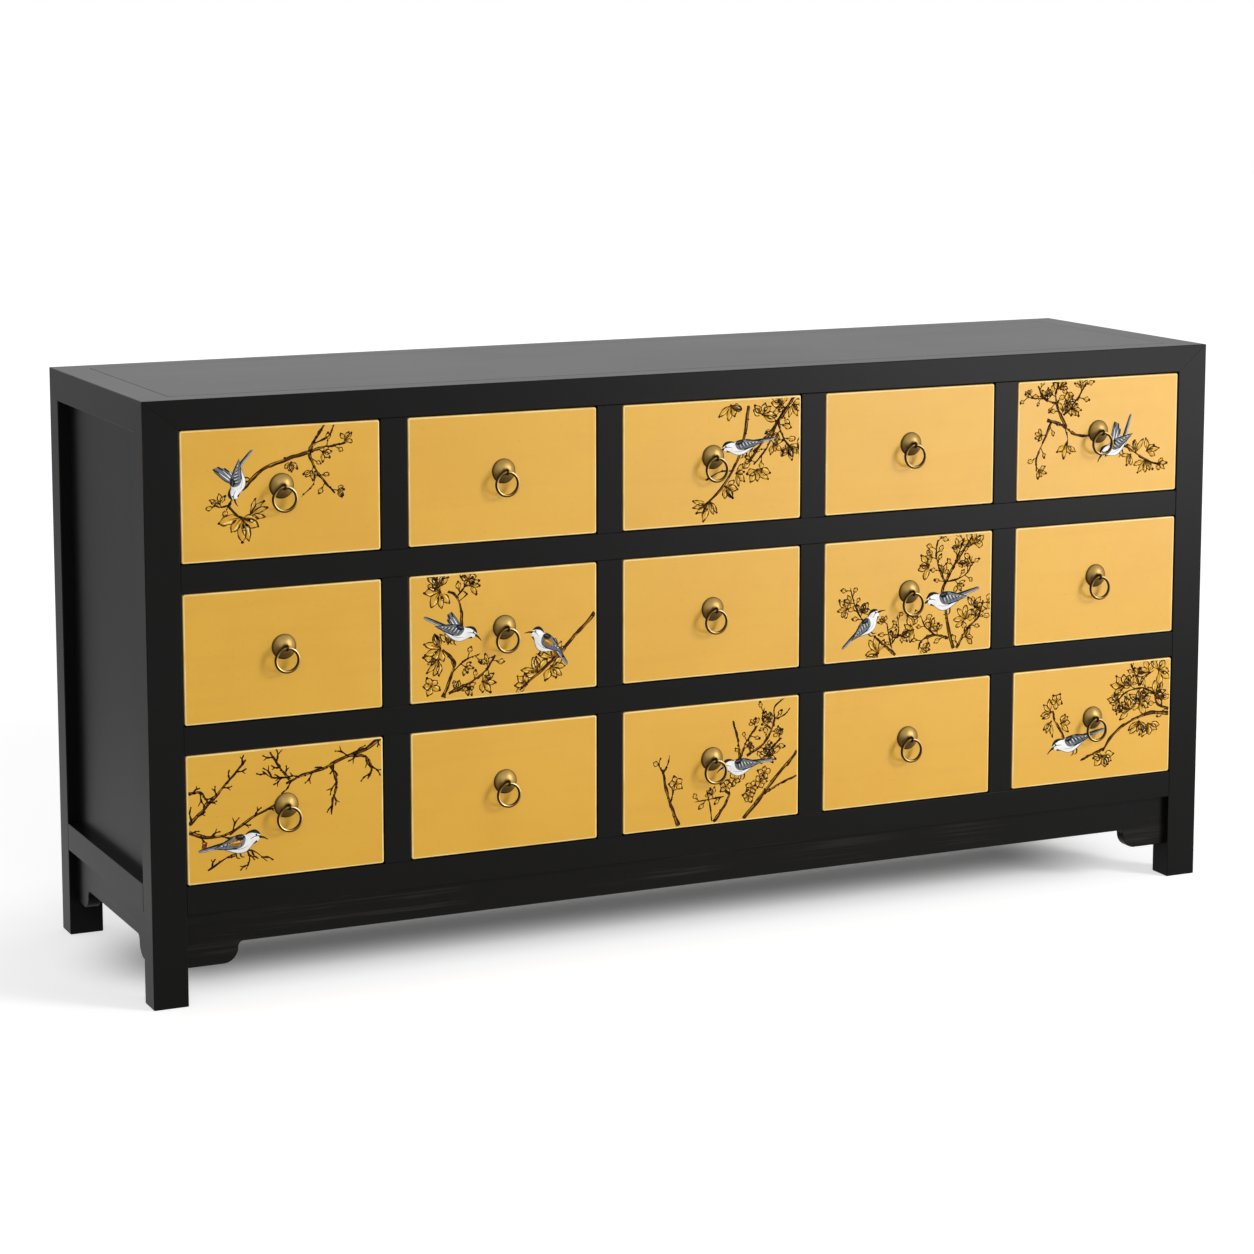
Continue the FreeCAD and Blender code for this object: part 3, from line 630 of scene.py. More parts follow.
posts, top_rails = [], []
for outer_x, inner_x in ((left, inner_left), (right, inner_right)):
    for outer_y, inner_y in ((front, inner_front), (back, inner_back)):
        def post_cut(section):
            across = shares(section[:, 0], outer_x, inner_x) * TOP_RAIL
            deep = shares(section[:, 1], outer_y, inner_y) * SIDE_TOP_RAIL
            return np.maximum(across, deep) + MITRE_GAP
        low = (min(outer_x, inner_x), min(outer_y, inner_y), ground)
        high = (max(outer_x, inner_x), max(outer_y, inner_y), top)
        posts.append(mitred_member(low, high, "z", no_cut, post_cut, FOOT_EASE))

for outer_y, inner_y in ((front, inner_front), (back, inner_back)):
    def rail_cut(section):
        deep = shares(section[:, 0], outer_y, inner_y)
        return POST_WIDTH * np.maximum(deep, shares(section[:, 1], top, top - TOP_RAIL)) + MITRE_GAP
    low = (left, min(outer_y, inner_y), top - TOP_RAIL)
    high = (right, max(outer_y, inner_y), top)
    top_rails.append(mitred_member(low, high, "x", rail_cut, rail_cut, 0))

for outer_x, inner_x in ((left, inner_left), (right, inner_right)):
    def side_cut(section):
        across = shares(section[:, 0], outer_x, inner_x)
        return POST_DEPTH * np.maximum(across, shares(section[:, 1], top, top - SIDE_TOP_RAIL)) + MITRE_GAP
    low = (min(outer_x, inner_x), front, top - SIDE_TOP_RAIL)
    high = (max(outer_x, inner_x), back, top)
    top_rails.append(mitred_member(low, high, "y", side_cut, side_cut, 0))

make_piece("posts", posts, [BLACK], "carcass", ["corner_posts"])
make_piece("top_frame", top_rails, [BLACK], "carcass", ["top_rails"])
print("posts", len(posts), "top rails", len(top_rails))

# %% [markdown]
# ## Panels and front frame
# The top panel lies flush in its frame, the side panels sit back in grooves, and rails and stiles
# divide the front. All are boards with eased edges. The top panel is eased least and fits with almost
# no gap, so only a fine line shows round it.

# %% Panels, rails and stiles
TOP_PANEL, SIDE_RECESS, SIDE_PANEL, BACK_RECESS, BACK_PANEL = 0.016, 0.014, 0.008, 0.008, 0.008
TONGUE, SIDE_RAIL = 0.008, 0.030
PANEL_LINE, PANEL_EASE = 0.00003, 0.0001


def black_piece(name, boards, *nodes):
    return make_piece(name, boards, [BLACK], "carcass", nodes)


black_piece("top_board", [plain_board(
    (inner_left + PANEL_LINE, inner_front + PANEL_LINE, top - TOP_PANEL),
    (inner_right - PANEL_LINE, inner_back - PANEL_LINE, top), "x", PANEL_EASE)], "top_panel")

side_boards, side_bars = [], []
for face, inward in ((left, 1), (right, -1)):
    xs = sorted((face + inward * SIDE_RECESS, face + inward * (SIDE_RECESS + SIDE_PANEL)))
    side_boards.append(plain_board(
        (xs[0], inner_front - TONGUE, lowest_sill - TONGUE),
        (xs[1], inner_back + TONGUE, top - SIDE_TOP_RAIL + TONGUE), "z"))
    xs = sorted((face, face + inward * SIDE_RAIL))
    side_bars.append(plain_board((xs[0], inner_front, leg_height), (xs[1], inner_back, lowest_sill), "y",
                                 FRAME_EASE))
black_piece("side_boards", side_boards, "side_panels")
black_piece("side_bars", side_bars, "side_rails")

black_piece("back_board", [plain_board(
    (inner_left - TONGUE, back - BACK_RECESS - BACK_PANEL, leg_height),
    (inner_right + TONGUE, back - BACK_RECESS, top - TOP_RAIL + TONGUE), "x")], "back_panel")

front_bars, front_stiles = [], []
for row in ROWS:
    sill = opening(f"{row}_1")[2]
    below = leg_height if row == "bottom" else opening(f"{ROWS[ROWS.index(row) + 1]}_1")[3]
    front_bars.append(plain_board((inner_left, front, below), (inner_right, inner_front, sill), "x",
                                  FRAME_EASE))
    for column in COLUMNS[:-1]:
        x0, z0, z1 = opening(f"{row}_{column}")[1:]
        x1 = opening(f"{row}_{column + 1}")[0]
        front_stiles.append(plain_board((x0, front, z0), (x1, inner_front, z1), "z", FRAME_EASE))
black_piece("front_bars", front_bars, "front_rails")
black_piece("front_uprights", front_stiles, "front_stiles")
print("front rails", len(front_bars), "stiles", len(front_stiles))

# %% [markdown]
# ## Aprons
# Under the rails hang aprons whose ends swell down into spandrels. Their lower edge is an ogee, a
# convex quarter round followed by a hollow one, so the outline takes its points from two arcs. A
# `patina` of 1 tells the black finish to lay fine paler streaks on them.

# %% Aprons with ogee spandrels
APRON_SETBACK, APRON_THICK, SPANDREL_DROP = 0.010, 0.016, 0.069
SWELL, HOLLOW, HOUSING = 0.019, 0.007, 0.006
LONG_FLAT, SIDE_FLAT, APRON_EASE = 0.048, 0.034, 0.0010
ARC_STEPS = 14


def quarter(centre, radius, begin, end):
    """Points of a circular arc, angles in degrees."""
    angle = np.radians(np.linspace(begin, end, ARC_STEPS + 1))
    return np.stack([centre[0] + radius * np.cos(angle), centre[1] + radius * np.sin(angle)], axis=1)


def apron_outline(start, end, flat, low, high):
    """Foot, convex quarter, hollow quarter, straight edge, and the same mirrored, run round once."""
    foot = start + HOUSING + flat
    swell = quarter((foot, low + SWELL), SWELL, -90, 0)
    hollow = quarter((foot + SWELL + HOLLOW, low + SWELL), HOLLOW, 180, 90)
    near = np.concatenate([[(start, low)], swell, hollow[1:]])
    far = near[::-1] * (-1, 1) + (start + end, 0)
    return rounded_outline(np.concatenate([near, far, [(end, high), (start, high)]]), 1.5 * APRON_EASE, 2)


apron_low = leg_height - SPANDREL_DROP
long_aprons = [
    eased_slab(apron_outline(inner_left - HOUSING, inner_right + HOUSING, LONG_FLAT,
                             apron_low, leg_height), y, y + APRON_THICK, "xzy", (APRON_EASE, APRON_EASE), "x")
    for y in (front + APRON_SETBACK, back - APRON_SETBACK - APRON_THICK)]
side_aprons = [
    eased_slab(apron_outline(inner_front - HOUSING, inner_back + HOUSING, SIDE_FLAT,
                             apron_low, leg_height), x, x + APRON_THICK, "yzx", (APRON_EASE, APRON_EASE), "y")
    for x in (left + APRON_SETBACK, right - APRON_SETBACK - APRON_THICK)]
for board in long_aprons + side_aprons:
    board["patina"] = np.ones(len(board["points"]))
black_piece("long_apron_boards", long_aprons, "long_aprons")
black_piece("side_apron_boards", side_aprons, "side_aprons")
print("apron points", len(long_aprons[0]["points"]))

# %% [markdown]
# ## Inside the carcass
# Runners, stops, battens, the dust board and the rear rails already have their true shape in the
# measured model, so they only take the bare wood, with its grain turned to suit.

# %% Bare wood for the inner nodes
# The bottom board takes the dark wood, a painted shade under the cabinet.
for node, wood in (("drawer_runners", WOOD_ALONG_Y), ("drawer_stops", WOOD_ALONG_X),
                   ("top_battens", WOOD_ALONG_Y), ("bottom_board", SHADE_DARK_WOOD),
                   ("rear_rails", WOOD_ALONG_X)):
    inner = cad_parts[node]
    for place in range(max(1, len(inner.material_slots))):
        if inner.material_slots:
            inner.material_slots[place].material = wood
        else:
            inner.data.materials.append(wood)
print("inner nodes dressed")

# %% [markdown]
# ## Drawers
# A drawer is a lacquered front with softly eased edges and slightly rounded corners, and behind it a
# box of thin bare boards. The front and the box are separate boards of one piece. A narrow band inside
# the front's eased edge is made pale as well, partly wear and partly a painted highlight, so that the
# pale rim still shows from across a room.

# %% Drawer fronts and boxes
SIDE_THICK, SIDE_HEIGHT, BOX_BACK, BACK_DROP = 0.010, 0.140, 0.010, 0.006
BOTTOM_RISE, BOTTOM_THICK = 0.009, 0.005
FRONT_EASE, FRONT_CORNER, WEAR_AND_HIGHLIGHT_BAND, INNER_EASE = 0.0016, 0.0026, 0.0008, 0.0006


def drawer_boards(tag):
    """The front is a rounded outline carried back by its thickness; behind it two sides, a back and a
    bottom fill the drawer's measured box."""
    low, high = (np.array(c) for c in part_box(f"drawer_{tag}"))
    face = rounded_outline(rectangle(low[0], low[2] - RUNNING_GAP + REVEAL, high[0], high[2]), FRONT_CORNER)
    boards = [eased_slab(face, low[1], low[1] + FRONT_THICK, "xzy", (FRONT_EASE, INNER_EASE), "x",
                         band=WEAR_AND_HIGHLIGHT_BAND)]
    behind, side_top = low[1] + FRONT_THICK, low[2] + SIDE_HEIGHT
    for x in (low[0], high[0] - SIDE_THICK):
        boards.append(plain_board((x, behind, low[2]), (x + SIDE_THICK, high[1], side_top), "y", finish=1))
    inside = low[0] + SIDE_THICK, high[0] - SIDE_THICK
    floor_low = low[2] + BOTTOM_RISE
    boards.append(plain_board((inside[0], high[1] - BOX_BACK, floor_low + BOTTOM_THICK),
                              (inside[1], high[1], side_top - BACK_DROP), "x", finish=1))
    boards.append(plain_board((inside[0], behind, floor_low),
                              (inside[1], high[1], floor_low + BOTTOM_THICK), "x", finish=1))
    return boards


for tag in TAGS:
    make_piece(f"drawer_{tag}_box", drawer_boards(tag), [MUSTARD, DRAWER_WOOD], f"{tag}_drawer",
               [f"drawer_{tag}"])
print("drawers", len(TAGS))

# %% [markdown]
# ## Pulls
# Each pull is a domed plate held by a split pin, whose eye carries a hanging ring. The dome is a
# profile turned about the pin, a little uneven as if raised with a hammer; part of a sphere would look
# too true. How dark the brass is depends on the place on the dome, partly patina and partly painted
# shade and highlight, so it is worked out with the shape.

# %% Domed plates
PLATE_RADIUS, PLATE_HEIGHT, PLATE_WALL, PIN_RADIUS = 0.0155, 0.0080, 0.0012, 0.0011
RIM_ROLL = ((-PLATE_WALL, 0), (-0.0002, 0), (0.0001, 0.0003), (-0.0001, 0.0007))
DOME_STEPS, HOLLOW_STEPS, TURN_STEPS = 13, 7, 48
DENT_WIDE, DENT_FINE = 0.00006, 0.00005
EYE_SHARE, RIM_SHARE = 0.26, 0.88
# The lit side of each dome is a painted highlight of gold, and its far side is painted shade.
PLATE_BROWN, PAINTED_HIGHLIGHT_GOLD, PAINTED_LIGHT_ANGLE = 0.44, 0.50, math.radians(62)


def plate_patina_and_light(outward, angle):
    """Dark round the eye and at the rim, with painted shade away from the lit side; the hollow inside is
    brown all over.

    outward is the radius as a share of the rim's; the lit side gets a painted highlight, gold with the cosine
    of the angle.
    """
    eye = np.clip(1.5 - outward / EYE_SHARE, 0, 1)
    rim = np.clip((outward - RIM_SHARE) / (1 - RIM_SHARE), 0, 0.8)
    # Painted light: the cosine term makes the lamp side gold and the far side brown.
    dark = eye + rim + PLATE_BROWN - PAINTED_HIGHLIGHT_GOLD * np.cos(angle - PAINTED_LIGHT_ANGLE) * np.clip(2 * outward, 0, 1)
    dark[1 - HOLLOW_STEPS:] = 1
    return dark


def turned_plate(centre, seed):
    """Radius r and height h of a spherical cap, turned about -Y, with a rolled rim and a thin wall.

    The outside is h = top - bend + sqrt(bend^2 - r^2); the inside is the same cap a wall lower. A ripple
    of a few hundredths of a millimetre in r and h stands for the hammer.
    """
    bend = (PLATE_RADIUS ** 2 + PLATE_HEIGHT ** 2) / (2 * PLATE_HEIGHT)
    share = np.linspace(0, 1, DOME_STEPS)
    outside_r = PLATE_RADIUS * (1 - share) + PIN_RADIUS * share
    outside_h = PLATE_HEIGHT - bend + np.sqrt(bend ** 2 - outside_r ** 2)
    inside_r = np.linspace(PIN_RADIUS, PLATE_RADIUS - PLATE_WALL, HOLLOW_STEPS)
    inside_h = (PLATE_HEIGHT - bend + np.sqrt(bend ** 2 - inside_r ** 2) - PLATE_WALL).clip(0)
    profile = np.concatenate([np.array(RIM_ROLL) + (PLATE_RADIUS, 0),
                              np.stack([outside_r, outside_h], axis=1)[1:],
                              np.stack([inside_r, inside_h], axis=1)[:-1]])
    angle = np.linspace(0, 2 * np.pi, TURN_STEPS, endpoint=False)[None]
    r, h = profile[:, :1], profile[:, 1:]
    ripple = DENT_WIDE * np.sin(3 * angle + seed) + DENT_FINE * np.sin(5 * angle + 2 * seed + 300 * r)
    r = r + ripple * (r / PLATE_RADIUS)
    h = h + ripple * (h / PLATE_HEIGHT)
    points = np.stack([centre[0] + r * np.cos(angle), centre[1] - h + 0 * angle,
                       centre[2] + r * np.sin(angle)], axis=-1)
    faces = grid_faces(len(profile), TURN_STEPS, wrap_rows=True)
    return patch(points, faces[:, ::-1], patina=plate_patina_and_light(profile[:, :1] / PLATE_RADIUS, angle))


print("plate", round(2000 * PLATE_RADIUS, 1), "mm across")

# %% [markdown]
# Pin and ring are wires: a round section carried along a path. The eye of the pin is most of a circle,
# and its ends run back through the drawer front. The ring is a whole circle, never quite true.

# %% Wires for pins and rings
EYE_RADIUS, EYE_REACH, LEG_LENGTH = 0.0031, 0.0122, 0.009
EYE_TURN, EYE_STEPS, RING_STEPS, WIRE_SIDES = 170, 33, 64, 18
RING_FULLER, RING_BEND, RING_SWELL = 1.16, 0.006, 0.03
# The rings get a painted highlight on the side that faces the lamps; its direction, right, front and up, is
# given below.
WIRE_PATINA, PAINTED_GLINT, GLINT_BEGIN, GLINT_SLOPE = 1.4, 2.55, 0.45, 2.2
PAINTED_LIGHT_DIRECTION = (0.70, -0.55, 0.45)


def bent_wire(path, across, radius, closed=False, patina=WIRE_PATINA):
    """A round section along a flat path: point + radius * (cos a * side + sin a * across).

    across is the constant direction square to the path's plane, and side is square to both it and the
    path. Ends of an open wire are closed by a flat face. patina may vary round the section.
    """
    path = np.asarray(path, float)
    ahead = np.roll(path, -1, axis=0) - np.roll(path, 1, axis=0)
    if not closed:
        ahead[0], ahead[-1] = path[1] - path[0], path[-1] - path[-2]
    ahead /= np.linalg.norm(ahead, axis=1, keepdims=True)
    across = np.asarray(across, float)
    side = np.cross(ahead, across)
    angle = np.linspace(0, 2 * np.pi, WIRE_SIDES, endpoint=False)
    radius = np.broadcast_to(radius, (len(path),))[:, None, None]
    round_section = (np.cos(angle)[None, :, None] * side[:, None] + np.sin(angle)[None, :, None] * across)
    points = path[:, None] + radius * round_section
    faces = grid_faces(len(path), WIRE_SIDES, wrap_rows=closed).tolist()
    if not closed:
        last = (len(path) - 1) * WIRE_SIDES
        faces += [list(range(WIRE_SIDES))[::-1], list(range(last, last + WIRE_SIDES))]
    return patch(points, faces, patina=np.broadcast_to(patina, points.shape[:2]))


def split_pin(centre):
    """The eye is most of a circle in the YZ plane; its ends run back as one shank, with spread legs."""
    x_axis = (1, 0, 0)
    eye_y = centre[1] - EYE_REACH
    angle = np.radians(np.linspace(-EYE_TURN, EYE_TURN, EYE_STEPS))
    loop = np.stack([np.full_like(angle, centre[0]), eye_y - EYE_RADIUS * np.cos(angle),
                     centre[2] + EYE_RADIUS * np.sin(angle)], axis=1)
    end_y = centre[1] + FRONT_THICK + PIN_RADIUS * 0.5
    shank = np.array([(centre[0], eye_y + EYE_RADIUS * 0.9, centre[2]), (centre[0], end_y, centre[2])])
    leg = np.array([(centre[0], end_y, centre[2] - LEG_LENGTH), (centre[0], end_y, centre[2] + LEG_LENGTH)])
    return [bent_wire(loop, x_axis, PIN_RADIUS), bent_wire(shank, x_axis, PIN_RADIUS),
            bent_wire(leg, x_axis, PIN_RADIUS * 0.5)]


def hanging_ring(low, high, seed):
    """A torus in the XZ plane, its wire swelling and thinning a little round the ring.

    It gets a painted highlight where its outward normal leans toward the lamps, up and to the right in front.
    """
    centre = (low + high) / 2
    thick = (high[1] - low[1]) / 2 * RING_FULLER
    mean = (high[0] - low[0]) / 2 - thick
    angle = np.linspace(0, 2 * np.pi, RING_STEPS, endpoint=False)
    round_it = np.linspace(0, 2 * np.pi, WIRE_SIDES, endpoint=False)
    facing_lamps = (np.cos(round_it) * (PAINTED_LIGHT_DIRECTION[0] * np.sin(angle) + PAINTED_LIGHT_DIRECTION[2] * np.cos(angle))[:, None]
               + PAINTED_LIGHT_DIRECTION[1] * np.sin(round_it))
    # Painted highlight: the wire is made bright brass where it faces the lamps.
    patina = WIRE_PATINA - PAINTED_GLINT * np.clip(GLINT_SLOPE * (facing_lamps - GLINT_BEGIN), 0, 1)
    bend = mean * (1 + RING_BEND * np.sin(2 * angle + seed))
    path = np.stack([centre[0] + bend * np.sin(angle), np.full_like(angle, centre[1]),
                     centre[2] + bend * np.cos(angle)], axis=1)
    swelling = thick * (1 + RING_SWELL * np.sin(3 * angle + 2 * seed))
    return bent_wire(path, (0, 1, 0), swelling, True, patina)


print("wire sides", WIRE_SIDES)

# %% [markdown]
# A plate and its pin slide with the drawer, and the ring swings on a body of its own, so each pull is
# two pieces.

# %% Hang the pulls
for number, tag in enumerate(TAGS):
    plate_low, plate_high = (np.array(c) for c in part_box(f"pull_plate_{tag}"))
    seat = np.array([(plate_low[0] + plate_high[0]) / 2, front, (plate_low[2] + plate_high[2]) / 2])
    make_piece(f"pull_{tag}_plate", [turned_plate(seat, number)] + split_pin(seat), [BRASS],
               f"{tag}_drawer", [f"pull_plate_{tag}"])
    ring_low, ring_high = (np.array(c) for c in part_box(f"ring_{tag}"))
    make_piece(f"pull_{tag}_ring", [hanging_ring(ring_low, ring_high, number)], [BRASS],
               f"{tag}_ring", [f"ring_{tag}"])
print("pulls", len(TAGS))

# %% [markdown]
# ## Brush and colours
# Eight drawers carry birds and blossom in the old ink-and-colour manner: ink contours over thin washes.
# A flat picture would need an image file, so every brush mark is real, a low ridge of paint a tenth of
# a millimetre high. A mark is a profile carried along a smooth line, and a wash is a filled outline.

# %% Paint colours
def paint(name, thin, thick):
    """Brushed colour that runs from a thin to a thick coat along fine streaks."""
    finish, start, shader = new_finish(name)
    place = start.node("ShaderNodeTexCoord", None, None, "Object")
    pool = place.noise(120.0, 3.0, 0.6).between(0.35, 0.65)
    streak = place.noise(700.0, 3.0, 0.6)
    relief = streak.bump(0.2, 0.0002)
    coat = (pool * 0.6 + streak * 0.4).tint(thin, thick)
    dress(shader, Base_Color=coat, Roughness=0.5 + streak * 0.15, Normal=relief, Specular_IOR_Level=0.06)
    return finish


INK, SEPIA, WHITE, SLATE, SOOT, WASH, RUST, GLINT, UMBER = range(9)
PAINTS = [
    paint("ink_brown", (0.032, 0.012, 0.0030), (0.010, 0.0042, 0.0016)),
    paint("sepia", (0.540, 0.275, 0.026), (0.370, 0.170, 0.016)),
    paint("white_lead", (0.80, 0.80, 0.79), (0.92, 0.92, 0.91)),
    paint("slate_grey", (0.215, 0.238, 0.266), (0.095, 0.107, 0.125)),
    paint("soot_black", (0.022, 0.022, 0.025), (0.008, 0.008, 0.009)),
    paint("petal_wash", (0.740, 0.430, 0.055), (0.610, 0.310, 0.028)),
    paint("rust_red", (0.330, 0.080, 0.018), (0.180, 0.035, 0.010)),
    paint("pale_gold", (0.860, 0.620, 0.200), (0.930, 0.740, 0.340)),
    paint("umber", (0.120, 0.044, 0.008), (0.045, 0.016, 0.004)),
]
print("paints", len(PAINTS))

# %% [markdown]
# A brush turns softly from place to place, so every mark follows a smooth curve through a few chosen
# points. A curve object could do that too, but a short formula gives plain arrays, from which a stroke
# works out its two edges.

# %% Smooth lines
def flow(points, closed=False, steps=6):
    """A smooth line through the points: on each span, the cubic whose slope at a point is half the
    step from the point before it to the point after it."""
    p = np.asarray(points, float)
    if closed:
        a, b, c, d = np.roll(p, 1, 0), p, np.roll(p, -1, 0), np.roll(p, -2, 0)
    else:
        padded = np.concatenate([2 * p[:1] - p[1:2], p, 2 * p[-1:] - p[-2:-1]])
        a, b, c, d = padded[:-3], padded[1:-2], padded[2:-1], padded[3:]
    t = np.linspace(0, 1, steps, endpoint=False)[None, :, None]
    a, b, c, d = (q[:, None] for q in (a, b, c, d))
    line = 0.5 * (2 * b + (c - a) * t + (2 * a - 5 * b + 4 * c - d) * t ** 2
                  + (3 * b - a - 3 * c + d) * t ** 3)
    line = line.reshape(-1, 2)
    return line if closed else np.concatenate([line, p[-1:]])


def heading(degrees):
    """The direction (cos a, sin a) in the plane of the face."""
    return np.array([math.cos(math.radians(degrees)), math.sin(math.radians(degrees))])


print("points on a curve through four", len(flow([(0, 0), (1, 0), (1, 1), (2, 1)])))

# %% [markdown]
# The brush is a small class that knows one drawer's face. Places are shares of the face, so the places of
# a spray can be listed one by one, and sizes are in millimetres, as a painter would judge them. It can lay a
# stroke, a wash and a dot. Each mark has a layer, so that later colour lies on top of earlier colour.

# %% Strokes, washes and dots
MM = 0.001
COAT, LAYER, SINK = 0.00010, 0.00004, 0.00005
EDGE_ROOM = 0.0022
SECTION, RAISED = np.array([-0.5, -0.36, 0.36, 0.5]), np.array([0, 1, 1, 0])
ROOT_END, TIP_END, WASH_TOP = 0.6, 0.5, 0.96


class Brush:
    """Gathers the marks on one drawer face; a mark's layer says how far it lies over the others."""

    def __init__(self, tag, seed):
        low, high = (np.array(c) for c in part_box(f"drawer_{tag}"))
        self.corner = np.array([low[0], low[2] - RUNNING_GAP + REVEAL])
        self.reach = np.array([high[0], high[2]]) - self.corner
        self.face = low[1]
        self.dice = np.random.default_rng(seed)
        self.patches = []

    def at(self, shares):
        """A place in metres from shares of the face's width and height."""
        return self.corner + np.asarray(shares, float) * self.reach

    def lay(self, flat, height, faces, colour):
        """Keep flat points clear of the rim, lift them off the face by height and store the patch."""
        inside = np.clip(flat, self.corner + EDGE_ROOM, self.corner + self.reach - EDGE_ROOM)
        points = np.stack([inside[:, 0], self.face + SINK - height, inside[:, 1]], axis=1)
        self.patches.append(patch(points, faces, finish=colour))

    def line(self, path, width, colour, layer, tip, root=1.0, knobs=0.0):
        """A ridge of paint: across the path its section runs from one foot over two shoulders to the
        other; its width goes from root to tip shares of width, with knobs as a wavering share."""
        line = flow(path)
        count = len(line)
        ahead = np.roll(line, -1, 0) - np.roll(line, 1, 0)
        ahead[0], ahead[-1] = line[1] - line[0], line[-1] - line[-2]
        ahead /= np.linalg.norm(ahead, axis=1, keepdims=True) + 1e-9
        side = np.stack([-ahead[:, 1], ahead[:, 0]], axis=1)
        along = np.linspace(0, 1, count)
        waver = 1 + knobs * np.sin(along * self.dice.uniform(9, 16) + self.dice.uniform(0, 6))
        wide = width * MM * (root + (tip - root) * along) * waver
        wide[0] *= ROOT_END
        wide[-1] *= TIP_END
        flat = line[:, None] + wide[:, None, None] * SECTION[None, :, None] * side[:, None]
        rise = RAISED * (COAT + layer * LAYER) + SINK * RAISED
        faces = grid_faces(count, 4).tolist()
        faces += [[3, 2, 1, 0], [4 * count - 4, 4 * count - 3, 4 * count - 2, 4 * count - 1]]
        self.lay(flat.reshape(-1, 2), np.tile(rise, count), [face[::-1] for face in faces], colour)

    def wash(self, outline, colour, layer, steps=6):
        """A filled smooth outline: a foot ring, a slightly smaller top ring, and two flat faces."""
        ring = flow(outline, True, steps)
        area = np.sum(ring[:, 0] * np.roll(ring[:, 1], -1) - np.roll(ring[:, 0], -1) * ring[:, 1])
        ring = ring if area > 0 else ring[::-1]
        middle = ring.mean(axis=0)
        count = len(ring)
        flat = np.concatenate([ring, middle + (ring - middle) * WASH_TOP])
        rise = np.concatenate([np.zeros(count), np.full(count, COAT + layer * LAYER + SINK)])
        faces = grid_faces(2, count).tolist()
        faces += [list(range(count))[::-1], list(range(count, 2 * count))]
        self.lay(flat, rise, faces, colour)

    def dot(self, place, size, colour=INK, layer=3):
        """A small uneven wash: six points at chance radii about the place."""
        angle = np.linspace(0, 2 * np.pi, 6, endpoint=False) + self.dice.uniform(0, 1)
        reach = size * MM / 2 * self.dice.uniform(0.8, 1.15, 6)
        self.wash(place + np.stack([np.cos(angle), np.sin(angle)], 1) * reach[:, None], colour, layer, 2)

    def finish(self, tag):
        """All the marks as one piece, which slides with the drawer."""
        return make_piece(f"spray_{tag}", self.patches, PAINTS, f"{tag}_drawer")


print("coat", COAT, "m")

# %% [markdown]
# A bough is an umber core with broken lights along one side, between two broken contours of ink. A
# slim one is a single stroke of ink. Bare winter boughs carry spurs on alternate sides.

# %% Boughs
BOUGH, SLIM = 1.45, 2.2


class BoughBrush(Brush):
    """A brush that also draws boughs."""

    def branch(self, shares, thick, thin):
        """Core, lights and contours along one line, then four knots on it.

        A contour is line + hand * side * half, where half is the half width, shaken by chance.
        """
        path = self.at(shares)
        thick, thin = thick * BOUGH, thin * BOUGH
        line = flow(path)
        ahead = np.gradient(line, axis=0)
        ahead /= np.linalg.norm(ahead, axis=1, keepdims=True)
        side = np.stack([-ahead[:, 1], ahead[:, 0]], axis=1)
        half = np.linspace(thick, thin, len(line))[:, None] * MM / 2
        if thick < SLIM:
            self.line(path, 1.25 * thick, INK, 2, thin / thick, 1.0, 0.35)
        else:
            self.line(path, 1.1 * thick, UMBER, 1, thin / thick, 1.0, 0.12)
            lit = line + 0.3 * side * half
            for begin in range(1, len(lit) - 5, 7):
                self.line(lit[begin:begin + 5:2], 0.42 * thick, SEPIA, 2, 0.5, 0.8, 0.3)
            for hand, ink in ((1, 1.3), (-1, 2.1)):
                shaken = half * (1 + self.dice.normal(0, 0.2, (len(line), 1)))
                edge = (line + hand * side * shaken)[::2]
                gap = self.dice.integers(len(edge) // 3, 2 * len(edge) // 3 + 1)
                for stroke in (edge[:gap], edge[gap:]):
                    if len(stroke) > 1:
                        self.line(stroke, ink, INK, 2, 0.6, 1.1, 0.45)
        for spot in self.dice.integers(1, len(line) - 1, 4):
            knot = line[spot] + side[spot] * half[spot] * self.dice.uniform(-1, 1)
            self.dot(knot, self.dice.uniform(1.8, 2.4) + 0.25 * thick)
        return path

    def shoot(self, line, number, count, start, spread):
        """Where a side shoot leaves a bough, and its direction, to alternate sides."""
        spot = int((number + start) / count * (len(line) - 1))
        ahead = line[min(spot + 1, len(line) - 1)] - line[max(spot - 1, 0)]
        lean = math.degrees(math.atan2(ahead[1], ahead[0]))
        return line[spot], lean + (-1) ** number * self.dice.uniform(*spread)

    def thorny(self, shares, thick, thin, count):
        """A bare winter bough with spurs that leave it on alternate sides and end in a point."""
        line = flow(self.branch(shares, thick, thin))
        for number in range(count):
            root, aim = self.shoot(line, number, count, 0.5, (30, 65))
            reach = MM * self.dice.uniform(8, 19)
            knee = root + heading(aim) * reach * 0.55
            tip = knee + heading(aim - (-1) ** number * 25) * reach * 0.45
            self.line(np.stack([root, knee, tip]), 2.8, INK, 2, 0.6, 1.0, 0.3)
            self.dot(tip, 2.2)
            if self.dice.random() < 0.6:
                fork = knee + heading(aim + (-1) ** number * 35) * reach * 0.45
                self.line(np.stack([knee, fork]), 1.8, INK, 2, 0.6)
            self.dot(root, 2.8)


print("boughs drawn", BOUGH, "times their listed size")

# %% [markdown]
# Blossom is built from one petal, which is fanned out for a flower seen from the side, set in a ring
# for an open one, and used alone for a bud. A little chance in its bend and edges is enough to make no
# two alike. A flowering bough carries buds and small fans on twigs.

# %% Blossom
BLOOM, PETALS = 1.45, 5


